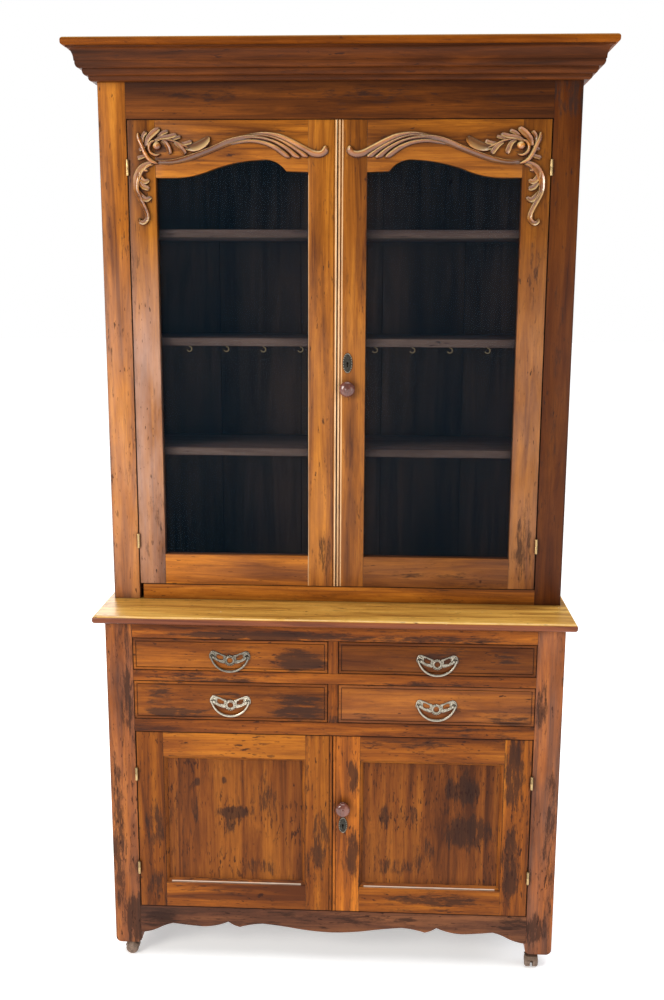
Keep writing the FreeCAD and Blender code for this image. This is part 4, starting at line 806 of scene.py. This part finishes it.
def sweptShape(centres, halfWidths, halfDepth, across, sides=16):
    # an oval bar along the centres: across is the direction of its depth
    shape = bmesh.new()
    across = Vector(across)
    rings = []
    last = len(centres) - 1
    for i, centre in enumerate(centres):
        ahead = (Vector(centres[min(i + 1, last)]) - Vector(centres[max(i - 1, 0)])).normalized()
        side = ahead.cross(across).normalized()
        rings.append([shape.verts.new((Vector(centre) + side * halfWidths[i] * math.cos(a)
                                       + across * halfDepth * math.sin(a)) * mm) for a in angles(sides)])
    return skinned(shape, rings)


def joined(shapes):
    whole = shapes[0]
    for shape in shapes[1:]:
        spare = bpy.data.meshes.new("spare")
        shape.to_mesh(spare)
        shape.free()
        whole.from_mesh(spare)
        bpy.data.meshes.remove(spare)
    return whole


def moved(shape, place, turn=None):
    if turn is not None:
        bmesh.ops.transform(shape, matrix=turn.to_4x4(), verts=shape.verts)
    bmesh.ops.translate(shape, vec=Vector(place) * mm, verts=shape.verts)
    return shape


# Relief: a carved or cast surface over a fine grid, with a wall down to its flat back

def reliefShape(reach, rise, step, us, vs, wall, place):
    # reach is how far inside the outline each grid point lies, rise its height; place makes a point
    slopeU, slopeV = np.gradient(reach, step)
    steep = slopeU ** 2 + slopeV ** 2 + 1e-6
    inside = reach > 0
    back = np.where(inside, 0.0, reach / steep)
    u = us[:, None] - np.clip(back * slopeU, -step, step)
    v = vs[None, :] - np.clip(back * slopeV, -step, step)
    height = np.where(inside, np.maximum(rise, wall), wall)
    shape = bmesh.new()
    tops, backs = {}, {}

    def corner(made, i, j, rising):
        if (i, j) not in made:
            made[i, j] = shape.verts.new(place(u[i, j], v[i, j], rising))
        return made[i, j]

    kept = inside[:-1, :-1] | inside[1:, :-1] | inside[:-1, 1:] | inside[1:, 1:]
    edges = {}
    for i, j in zip(*np.nonzero(kept)):
        loop = [(i, j), (i + 1, j), (i + 1, j + 1), (i, j + 1)]
        shape.faces.new([corner(tops, a, b, height[a, b]) for a, b in loop])
        shape.faces.new([corner(backs, a, b, 0.0) for a, b in loop[::-1]])
        for k in range(4):
            a, b = loop[k - 1], loop[k]
            if (b, a) in edges:
                del edges[b, a]
            else:
                edges[a, b] = True
    for a, b in edges:
        shape.faces.new((tops[b], tops[a], backs[a], backs[b]))
    return outward(shape)


def outlineReach(u, v, points):  # how far inside a closed outline
    near, inside = np.full(u.shape, 1e3), np.zeros(u.shape, bool)
    for (au, av), (bu, bv) in zip(points, np.roll(points, -1, axis=0)):
        du, dv = bu - au, bv - av
        t = np.clip(((u - au) * du + (v - av) * dv) / (du * du + dv * dv + 1e-9), 0, 1)
        near = np.minimum(near, np.hypot(u - au - t * du, v - av - t * dv))
        if dv:
            inside ^= ((av > v) != (bv > v)) & (u < au + (v - av) * du / dv)
    return np.where(inside, near, -near)


# Carved scrolls on the heads of the glazed doors: bands with a gouged section, each from edge to edge

carving = {"wall": 2.0, "highest": 11, "columns": 12, "breadth": 1.12, "strokeEnds": (0.06, 0.16),
           "eye": (69, 58), "eyeRadius": 10, "eyeRise": 11.5, "eyeSides": 14, "eyeSteps": 6}
gougeSections = {
    "round": lambda s: (1 - (2 * s - 1) ** 2) ** 0.5,
    "finger": lambda s: ((1 - (2 * s - 1) ** 2) ** 0.5 * (1.04 - 0.3 * s)
                         - 0.1 * math.exp(-((s - 0.62) / 0.16) ** 2)),
    "ridge": lambda s: (min(1, s / 0.1) ** 0.5 * (1 - 0.66 * min(1, max(0, s - 0.12) / 0.5) ** 0.8)
                        * min(1, (1 - s) / 0.06) ** 0.5),
    "leaf": lambda s: min(1, s / 0.12, (1 - s) / 0.12) ** 0.5 * (0.58 + 0.42 * abs(2 * s - 1) ** 1.3),
}
carvedBands = (  # upper edge, lower edge, rises along it, section, share of the root and of the tip
    # the ribbon, then the fingers that it fans out into, then the one that ends in a curl
    (((60, 88), (92, 89), (125, 83), (163, 71), (200, 57), (233, 43), (266, 35), (300, 33), (325, 37),
      (345, 46)),
     ((60, 97), (95, 99), (133, 94), (170, 83), (207, 69), (244, 55), (274, 50), (299, 51), (325, 57),
      (343, 66)),
     (7, 10, 10.5, 10, 9, 5, 3), "ridge", 0.03, 0.2),
    (((222, 53), (262, 45), (290, 43), (320, 47), (345, 56), (364, 68), (383, 83)),
     ((230, 60), (262, 53.5), (290, 52), (318, 57), (340, 67), (357, 79), (371, 89)),
     (5, 8.5, 10, 11), "finger", 0.3, 0.1),
    (((230, 46), (276, 37), (312, 38), (344, 45.5), (372, 59), (393, 74), (407, 86)),
     ((230, 53), (272, 44), (302, 43.5), (331, 49.5), (353, 60), (371, 73), (387, 88)),
     (5, 9, 10.5, 11.5), "finger", 0.3, 0.1),
    (((262, 35), (300, 31), (330, 34.5), (358, 43), (385, 56), (408, 70), (426, 83)),
     ((262, 41), (296, 37), (326, 40), (354, 50), (378, 64), (398, 78), (409, 87)),
     (5, 9, 10.5, 11), "finger", 0.3, 0.1),
    (((268, 32), (300, 28), (325, 27), (354, 31), (380, 41), (406, 54), (431, 66), (446, 68), (452, 62),
      (455, 56)),
     ((268, 38), (300, 34), (330, 37), (358, 46), (384, 59), (407, 72), (429, 83), (449, 84), (465, 74),
      (466, 58)),
     (6, 9.5, 11, 11, 10, 10.5, 11), "finger", 0.2, 0.08),
    (((126, 64), (148, 72), (167, 71), (183, 63), (193, 51), (194, 40)),
     ((126, 57), (143, 54), (158, 49), (172, 43), (182, 38), (188, 35)),
     (7, 9, 10, 10, 8), "ridge", 0.08, 0.12),
)
carvedStrokes = (  # route as (in from the hinge edge, down from the top), half widths, rises, section
    (((60, 47), (82, 43), (104, 46), (124, 54), (146, 64)), (3, 3.5, 3, 3), (7, 8), "round"),
    (((26, 28), (27, 41), (33, 54), (39, 69), (46, 82), (56, 92), (72, 98)),
     (3, 5, 5.5, 5.5, 5.5, 5, 4), (8, 10.5), "round"),
    (((37, 52), (37, 38), (46, 26)), (3, 4.5, 5.5), (8, 9.5), "leaf"),
    (((44, 60), (49, 44), (62, 30), (77, 19)), (4, 6.5, 8, 6.5), (9, 11, 10), "leaf"),
    (((70, 40), (82, 31), (97, 25)), (3, 5, 5), (8, 9.5, 8), "leaf"),
    (((60, 50), (78, 41), (98, 38), (117, 33)), (3.5, 5.5, 6, 5.5), (8, 10, 10), "leaf"),
    (((104, 46), (114, 41), (126, 38)), (3, 4.5, 4), (8, 9, 8), "leaf"),
    (((80, 45), (91, 53), (97, 65), (100, 77)), (3.5, 5.5, 6.5, 6), (8, 10, 10), "leaf"),
    (((108, 50), (121, 58), (129, 67), (136, 77)), (3.5, 5.5, 6.5, 6), (8, 10, 10), "leaf"),
    (((121, 53), (136, 53), (152, 48)), (3, 5, 5.5), (8, 9, 9), "leaf"),
    (((66, 46), (56, 50), (51, 60), (54, 72), (66, 79), (78, 76)), (2.5, 4, 4, 4, 3.5, 2), (9, 9), "round"),
    (((62, 98), (48, 99), (33, 108), (23, 124), (19, 142), (20, 160), (28, 178), (36, 194), (42, 208),
      (43, 221), (34, 230), (25, 227), (24, 219)),
     (4, 6.5, 8.5, 9, 7.5, 6.5, 6, 5.5, 5.5, 5.5, 5.5, 5, 4), (9, 10.5, 10, 10.5), "leaf"),
    (((26, 114), (30, 130), (40, 138), (50, 133)), (4, 6.5, 6.5, 4.5), (9, 10, 9), "leaf"),
    (((26, 136), (36, 149), (50, 154)), (4, 6.5, 6), (9, 10, 9), "leaf"),
    (((22, 158), (32, 171), (42, 178), (54, 172)), (4, 6.5, 6.5, 4.5), (9, 10, 9), "leaf"),
    (((46, 78), (36, 82), (22, 86)), (3.5, 5, 5.5), (8, 9, 8), "leaf"),
    (((42, 58), (36, 63), (27, 68)), (3, 4.5, 4.5), (8, 9, 8), "leaf"),
    (((58, 99), (46, 103), (40, 112), (49, 113)), (4, 4.5, 4, 2.5), (8, 8, 8), "round"),
)


def addBand(shape, level, upper, lower, rises, section, root, tip, place):
    last, columns = len(upper) - 1, carving["columns"]
    rows = []
    for i, (a, b) in enumerate(zip(upper, lower)):
        t = i / last
        closing = max(0, 1 - t / root, 1 - (1 - t) / tip)
        swell = max(0.02, 1 - closing ** 2) ** 0.5
        middle = (a + b) / 2
        a, b = middle + (a - middle) * swell, middle + (b - middle) * swell
        rise = np.interp(t, np.linspace(0, 1, len(rises)), rises) * swell ** 0.5
        row = []
        for k in range(columns + 1):
            s = 0.5 - 0.5 * math.cos(math.pi * k / columns)
            height = max(carving["wall"], rise * gougeSections[section](s))
            corner = shape.verts.new(place(*(a + (b - a) * s), height))
            corner[level] = height / carving["highest"]
            row.append(corner)
        rows.append([shape.verts.new(place(*a, 0))] + row + [shape.verts.new(place(*b, 0))])
    for row, after in zip(rows, rows[1:]):
        for k in range(-1, columns + 2):
            shape.faces.new((row[k], row[k + 1], after[k + 1], after[k]))
    shape.faces.new(rows[0])
    shape.faces.new(rows[-1])


def carveEye(shape, level, place):  # a dome, with a wall down to its flat back
    x, y = carving["eye"]
    steps = carving["eyeSteps"]
    top = shape.verts.new(place(x, y, carving["eyeRise"]))
    top[level] = 1
    rings = [[top]]
    for step in range(1, steps + 2):
        turn = math.pi / 2 * min(step, steps) / steps
        reach, tall = carving["eyeRadius"] * math.sin(turn), math.cos(turn)
        height = carving["wall"] + (carving["eyeRise"] - carving["wall"]) * tall if step <= steps else 0
        ring = []
        for a in angles(carving["eyeSides"]):
            corner = shape.verts.new(place(x + reach * math.cos(a), y + reach * math.sin(a), height))
            corner[level] = 0.6 + 0.4 * tall
            ring.append(corner)
        rings.append(ring)
    skinned(shape, rings)


def carveScrolls():
    for side, turn in (("left", 1), ("right", -1)):
        low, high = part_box(side + "_upper_door_frame")
        edge = low.x if turn > 0 else high.x

        def place(a, b, rising):
            return Vector((edge + turn * a * mm, low.y - rising * mm, high.z - b * mm))

        shape = bmesh.new()
        level = shape.verts.layers.float.new("rise")
        for upper, lower, rises, section, root, tip in carvedBands:
            addBand(shape, level, smoothLine(upper), smoothLine(lower), rises, section, root, tip, place)
        for route, halves, rises, section in carvedStrokes:
            line = smoothLine(route)
            ahead = np.gradient(line, axis=0)
            ahead /= np.linalg.norm(ahead, axis=1)[:, None] + 1e-9
            half = np.interp(np.linspace(0, 1, len(line)), np.linspace(0, 1, len(halves)), halves)[:, None]
            out = np.stack([ahead[:, 1], -ahead[:, 0]], axis=1) * half * carving["breadth"]
            addBand(shape, level, line + out, line - out, rises, section, *carving["strokeEnds"], place)
        carveEye(shape, level, place)
        node = side + "_carved_scroll"
        carved = finished(node + "_carving", shape, [woodFinish("carved_wood", "X")], "carving")
        attach(carved, "carved_wood", node)


# Turned knobs

knobLook = {
    "rose": 12, "tenon": 16, "tenonRadius": 5,
    "neck": ((9, 5.2), (6.5, 8.5), (8.2, 11.5)),  # radius, height from the door
    "ball": ((3.8, 13.4), (0.4, 17.6), (0.4, 21.4), (3.6, 25.3), (9, 27.8)),  # in from the widest, height
    "button": ((5.2, 28.6), (4.6, 29.4)), "tip": 2.6,
}


def turnKnobs():
    for node in ("upper_door_knob", "lower_door_knob"):
        low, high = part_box(node)
        radius = (high.x - low.x) / 2 / mm
        face = high.y / mm - knobLook["tenon"]
        proud = face - low.y / mm
        rose, root = knobLook["rose"], knobLook["tenonRadius"]
        ball = [(radius - inset, height) for inset, height in knobLook["ball"]]
        profile = [(root, 0.1 - knobLook["tenon"]), (root, 0), (rose - 0.6, 0), (rose, 0.8)]
        profile += map(tuple, smoothLine([(rose, 3), *knobLook["neck"], *ball, knobLook["button"][0]]))
        profile += [knobLook["button"][1], (knobLook["tip"], proud - 0.1), (0, proud)]
        shape = moved(turnedShape(profile), ((low.x + high.x) / 2 / mm, face, (low.z + high.z) / 2 / mm),
                      Matrix.Rotation(math.radians(90), 3, "X"))
        turned = finished(node + "_turned", shape, [woodFinish("knob_wood", "Z")], "knob")
        attach(turned, "knob_wood", node)


# Drawer pulls: a pierced plate with a raised rim, a rosette at each end and a beaded ring, and a
# crescent bail

pull = {
    "wing": ((8, 10), (20, 16.5), (33, 22), (39.5, 24), (45, 22), (48.5, 16.5), (49.8, 9.5), (48.5, 4.5),
             (44.5, 1.5), (37, 1), (26, -4.5), (12, -7)),
    "window": ((16, 1.5), (27, 2.5), (32.5, 7), (31.5, 15.5), (25, 14.8), (15.5, 9.5)),
    "grid": (53, 17, 27), "step": 0.6,  # half width, depth below the ring's middle and height above it
    "wall": 1.2, "field": 1.5, "rim": (1.1, 0.55, 0.7),  # how far in, how wide and how high
    "ring": (7, 13), "ringUp": 14, "ringField": 1.3, "ringRims": ((8, 0.8, 0.8), (13, 0.7, 0.6)),
    "beads": 16, "beadRadius": 1.7, "beadRing": 12.4,
    "rosette": (42.3, 12.2), "rosetteRadius": 7.5, "petal": 1.5, "boss": 2.2, "vein": 0.35, "veinsFrom": 14,
    "ear": (36.3, 41.3), "earHalf": 3, "earDeep": 6.9, "earOut": 4.4, "earEase": 1.1,
    "eyeOut": 45.5, "eyeUp": 9, "axisOut": 5, "drop": 36, "lap": 2.4, "endWidth": 3.6, "middleWidth": 5.6,
    "thickness": 3.6, "bailSteps": 36, "pin": 1.4, "knuckle": 2.5, "knuckleUp": 0.6,
    "darker": {"top_left": 0.34, "top_right": 0.2, "bottom_left": 0.1, "bottom_right": 0.16},
}


def rim(distance, at, width, tall):
    return tall * np.exp(-((distance - at) / width) ** 2)


def castPlate(middle, face):
    step = pull["step"]
    halfWide, below, above = pull["grid"]
    us, vs = np.arange(-halfWide, halfWide, step), np.arange(-below, above, step)
    u, v = np.meshgrid(us, vs, indexing="ij")
    away = np.hypot(u, v)
    hole, ring = pull["ring"]
    wing = outlineReach(np.abs(u), v, closedLine(pull["wing"]))
    window = outlineReach(np.abs(u), v, np.array(pull["window"]))
    reach = np.minimum(np.maximum(wing, ring - away), -window)
    reach = np.minimum(reach, away - hole)
    rise = pull["field"] + rim(reach, *pull["rim"])
    along, up = np.abs(u) - pull["rosette"][0], v - pull["rosette"][1]
    out = np.hypot(along, up) / pull["rosetteRadius"]
    petals = 1.0 + pull["petal"] * np.cos(np.arctan2(up, along) * 4) ** 2
    flower = petals * np.clip(1 - out ** 4, 0, 1) * np.clip(out * 3, 0, 1)
    boss = pull["boss"] * np.clip(1 - (out / 0.32) ** 2, 0, 1) ** 0.5
    rise = np.where(out < 1, pull["field"] + flower + boss, rise)
    ringRims = sum(rim(away, *sizes) for sizes in pull["ringRims"])
    rise = np.where(away < ring, pull["ringField"] + ringRims, rise)
    veins = pull["vein"] * np.sin(np.abs(u) * 1.5 + v * 0.6) * np.clip(reach / 2 - 0.4, 0, 1)
    rise = np.where((np.abs(u) > pull["veinsFrom"]) & (out > 1), rise + veins, rise)

    def place(a, b, rising):
        return Vector((middle.x + a * mm, face - rising * mm, middle.z + b * mm))

    parts = [reliefShape(reach, rise, step, us, vs, pull["wall"], place)]
    inner, outer = pull["ear"]
    for side in (-1, 1):
        ear = bmesh.new()
        bmesh.ops.create_cube(ear, size=1)
        sizes = Vector((outer - inner, pull["earDeep"], 2 * pull["earHalf"]))
        bmesh.ops.scale(ear, vec=sizes * mm, verts=ear.verts)
        bmesh.ops.bevel(ear, geom=ear.edges, offset=pull["earEase"] * mm, segments=3, profile=0.5,
                        affect="EDGES")
        parts.append(moved(ear, place(side * (inner + outer) / 2, pull["eyeUp"], pull["earOut"]) / mm))
    return joined(parts)


def castBail(middle, axisY):
    def edge(out, drop):  # an arc through both ends and the lowest point
        radius = (out ** 2 + drop ** 2) / (2 * drop)
        hub = pull["eyeUp"] + pull["lap"] - drop + radius
        lift = math.asin((radius - drop) / radius)
        steps = pull["bailSteps"]
        turns = [-math.pi + lift + (math.pi - 2 * lift) * k / steps for k in range(steps + 1)]
        return np.array([(radius * math.cos(a), hub + radius * math.sin(a)) for a in turns])

    half, low = pull["endWidth"] / 2, pull["drop"] + pull["lap"]
    outer = edge(pull["eyeOut"] + half, low + pull["middleWidth"] / 2)
    inner = edge(pull["eyeOut"] - half, low - pull["middleWidth"] / 2)
    x, z = middle.x / mm, middle.z / mm
    centres = [(x + (a[0] + b[0]) / 2, axisY, z + (a[1] + b[1]) / 2) for a, b in zip(outer, inner)]
    widths = [np.hypot(*(a - b)) / 2 for a, b in zip(outer, inner)]
    parts = [sweptShape(centres, widths, pull["thickness"] / 2, (0, 1, 0))]
    for side in (-1, 1):
        ends = [(x + side * at, axisY, z + pull["eyeUp"]) for at in (pull["ear"][0], pull["eyeOut"])]
        parts.append(sweptShape(ends, [pull["pin"]] * 2, pull["pin"], (0, 1, 0)))
        knuckle = bmesh.new()
        bmesh.ops.create_uvsphere(knuckle, u_segments=20, v_segments=12, radius=pull["knuckle"] * mm)
        up = pull["eyeUp"] + pull["knuckleUp"]
        parts.append(moved(knuckle, (x + side * pull["eyeOut"], axisY, z + up)))
    return joined(parts)


def castPulls():
    for place, darker in pull["darker"].items():
        low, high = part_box(place + "_pull_plate")
        middle = (low + high) / 2
        middle.z = low.z + pull["ringUp"] * mm
        face = high.y
        metal = metalFinish("pull_metal", darker)
        ring = [middle + Vector((math.cos(a), 0, math.sin(a))) * pull["beadRing"] * mm
                for a in angles(pull["beads"])]
        beads = growOn([(x, face - pull["field"] * mm, z) for x, y, z in ring], beadTree,
                       {"Radius": pull["beadRadius"] * mm, "Material": metal})
        plate = castPlate(middle, face)
        plate.from_mesh(beads)
        casting = finished(place + "_pull_casting", plate, [metal], "metal")
        attach(casting, "pull_metal", place + "_pull_plate")
        bail = castBail(middle, face / mm - pull["axisOut"])
        attach(finished(place + "_bail_casting", bail, [metal], "metal"), "pull_metal", place + "_bail")


# Geometry Nodes: beads and cup hooks are set out on points

class Growth(Finish):
    def __init__(self, name, sizes):
        self.tree = bpy.data.node_groups.new(name, "GeometryNodeTree")
        self.tree.interface.new_socket("Points", in_out="INPUT", socket_type="NodeSocketGeometry")
        for size, value in sizes.items():
            socket = self.tree.interface.new_socket(size, in_out="INPUT", socket_type="NodeSocketFloat")
            socket.default_value = value
        self.tree.interface.new_socket("Material", in_out="INPUT", socket_type="NodeSocketMaterial")
        self.tree.interface.new_socket("Mesh", in_out="OUTPUT", socket_type="NodeSocketGeometry")
        self.entry = self.tree.nodes.new("NodeGroupInput")

    def given(self, name):
        return Level(self, self.entry.outputs[name])

    def family(self, kind):
        return "ShaderNode" if kind in ("Math", "CombineXYZ") else "GeometryNode"

    def raisedBy(self, shape, height):
        up = self.node("CombineXYZ", None, {"Z": height})
        return self.node("Transform", None, {"Geometry": shape, "Translation": up})

    def merged(self, *parts):
        join = self.node("JoinGeometry")
        for part in parts[::-1]:
            self.tree.links.new(part.socket, join.socket.node.inputs[0])
        return join

    def close(self, instance):  # set out on the points, made real and given its material
        spread = self.node("InstanceOnPoints", None, {"Points": self.given("Points"), "Instance": instance})
        real = self.node("RealizeInstances", None, {"Geometry": spread})
        done = self.node("SetMaterial", None, {"Geometry": real, "Material": self.given("Material")})
        out = self.tree.nodes.new("NodeGroupOutput")
        self.tree.links.new(done.socket, out.inputs[0])
        return self.tree


def growOn(points, tree, values):
    base = bpy.data.meshes.new(tree.name + "_points")
    base.from_pydata([tuple(point) for point in points], [], [])
    holder = bpy.data.objects.new(tree.name, base)
    bpy.context.scene.collection.objects.link(holder)
    modifier = holder.modifiers.new("grow", "NODES")
    modifier.node_group = tree
    for item in tree.interface.items_tree:
        if item.in_out == "INPUT" and item.name in values:
            modifier[item.identifier] = values[item.name]
    evaluated = holder.evaluated_get(bpy.context.evaluated_depsgraph_get())
    mesh = bpy.data.meshes.new_from_object(evaluated)
    holder.modifiers.remove(modifier)
    bpy.data.objects.remove(holder)
    return mesh


def makeBeadTree():
    growth = Growth("bead", {"Radius": pull["beadRadius"] * mm})
    bead = growth.node("MeshUVSphere", None, {"Segments": 12, "Rings": 8, "Radius": growth.given("Radius")})
    return growth.close(bead)


cupHooks = {"count": 9, "pitch": 90, "ringUp": 7.2, "ring": 6, "wire": 1.2, "collar": 4, "collarTall": 1.6,
            "shank": 8, "from": -160, "sweep": 250}


def makeHookTree():
    growth = Growth("cup_hook", {"Ring": cupHooks["ring"] * mm, "Wire": cupHooks["wire"] * mm,
                                 "Collar": cupHooks["collar"] * mm, "Sweep": math.radians(cupHooks["sweep"])})
    ring, wire = growth.given("Ring"), growth.given("Wire")
    bow = growth.node("CurveArc", {"mode": "RADIUS"}, {
        "Resolution": 30, "Radius": ring, "Start Angle": math.radians(cupHooks["from"]),
        "Sweep Angle": growth.given("Sweep")})
    section = growth.node("CurvePrimitiveCircle", {"mode": "RADIUS"}, {"Resolution": 10, "Radius": wire})
    bar = growth.node("CurveToMesh", None, {"Curve": bow, "Profile Curve": section, "Fill Caps": True})
    bar = growth.node("Transform", None, {"Geometry": bar, "Rotation": (math.pi / 2, 0, 0)})
    tall, thin = cupHooks["shank"] * mm, cupHooks["collarTall"] * mm
    shank = growth.node("MeshCylinder", None, {"Vertices": 12, "Radius": wire, "Depth": tall}, out="Mesh")
    collar = growth.node("MeshCone", None, {"Vertices": 20, "Radius Top": growth.given("Collar"),
                                           "Radius Bottom": wire * 1.4, "Depth": thin}, out="Mesh")
    return growth.close(growth.merged(bar, growth.raisedBy(shank, ring + tall / 2),
                                      growth.raisedBy(collar, ring + wire + thin / 2)))


def setCupHooks():
    low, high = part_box("cup_hooks")
    y, z = (low.y + high.y) / 2, low.z + cupHooks["ringUp"] * mm
    first = -(cupHooks["count"] - 1) / 2
    places = [((first + k) * cupHooks["pitch"] * mm, y, z) for k in range(cupHooks["count"])]
    brass = metalFinish("brass")
    shape = bmesh.new()
    shape.from_mesh(growOn(places, hookTree, {"Material": brass}))
    attach(finished("cup_hooks_row", outward(shape), [brass], "metal"), "brass", "cup_hooks")


metalEasing = {"brass": 0.2, "caster_iron": 0.4, "caster_wheel": 0.8}


def dressMetal(node, slotName, material):
    parts = [easedSolid(faces, metalEasing[slotName]) for faces in solidsOf(node)]
    attach(finished(node + "_metal", joined(parts), [material], "metal"), slotName, node)


keyholeRim = {"beads": 22, "beadRadius": 1.3, "inset": 1.4, "sunk": 0.2, "plateDarker": 0.6}


def dressLock(node):  # the keyhole plate has a beaded rim
    materials = [metalFinish("brass"), metalFinish("keyhole_plate", keyholeRim["plateDarker"]),
                 metalFinish("keyhole_plate")]
    parts = [easedSolid(faces, metalEasing["brass"]) for faces in solidsOf(node)]
    plate = min(parts, key=lambda part: min(v.co.y for v in part.verts))
    low, high = extent(plate.verts)
    middle, inset = (low + high) / 2, keyholeRim["inset"] * mm
    out, up, y = high.x - middle.x - inset, high.z - middle.z - inset, low.y + keyholeRim["sunk"] * mm
    beads = bmesh.new()
    beads.from_mesh(growOn([(middle.x + out * math.cos(a), y, middle.z + up * math.sin(a))
                            for a in angles(keyholeRim["beads"])],
                           beadTree, {"Radius": keyholeRim["beadRadius"] * mm, "Material": materials[2]}))
    for shape, place in ((plate, 1), (beads, 2)):
        for face in shape.faces:
            face.material_index = place
    attach(finished(node + "_metal", joined(parts + [beads]), materials, "metal"), "brass", node)


hingeDarker = {"left_lower_door_hinges": 0.16, "right_lower_door_hinges": 0.16}
brassNodes = ("case_hinge_leaves", "left_upper_door_hinges", "right_upper_door_hinges",
              "left_lower_door_hinges", "right_lower_door_hinges", "upper_lock_bolt", "lower_lock_bolt",
              "left_upper_flush_bolt", "left_lower_flush_bolt")


def dressCasters():
    iron, wheel = metalFinish("caster_iron"), wheelFinish()
    dressMetal("caster_sockets", "caster_iron", iron)
    for end in ("front", "rear"):
        for side in ("left", "right"):
            dressMetal(f"{end}_{side}_caster", "caster_iron", iron)
            dressMetal(f"{end}_{side}_caster_wheels", "caster_wheel", wheel)


def setGlass():
    glass = glassFinish()
    for side in ("left", "right"):
        pane = cadNodes[side + "_upper_door_glass"]
        pane.data.materials.clear()
        pane.data.materials.append(glass)


beadTree, hookTree = makeBeadTree(), makeHookTree()
aimCamera()
lightStudio()
hangBackdrop()
layFloor()
print("camera, lamps and floor set")
for node in slotOf:
    dressBoards(node)
print("boards dressed:", len(slotOf))
carveScrolls()
turnKnobs()
print("carving and knobs done")
castPulls()
setCupHooks()
for node in ("upper_door_lock", "lower_door_lock"):
    dressLock(node)
for node in brassNodes:
    dressMetal(node, "brass", metalFinish("brass", hingeDarker.get(node, 0.0)))
dressCasters()
print("metalwork done")
setGlass()
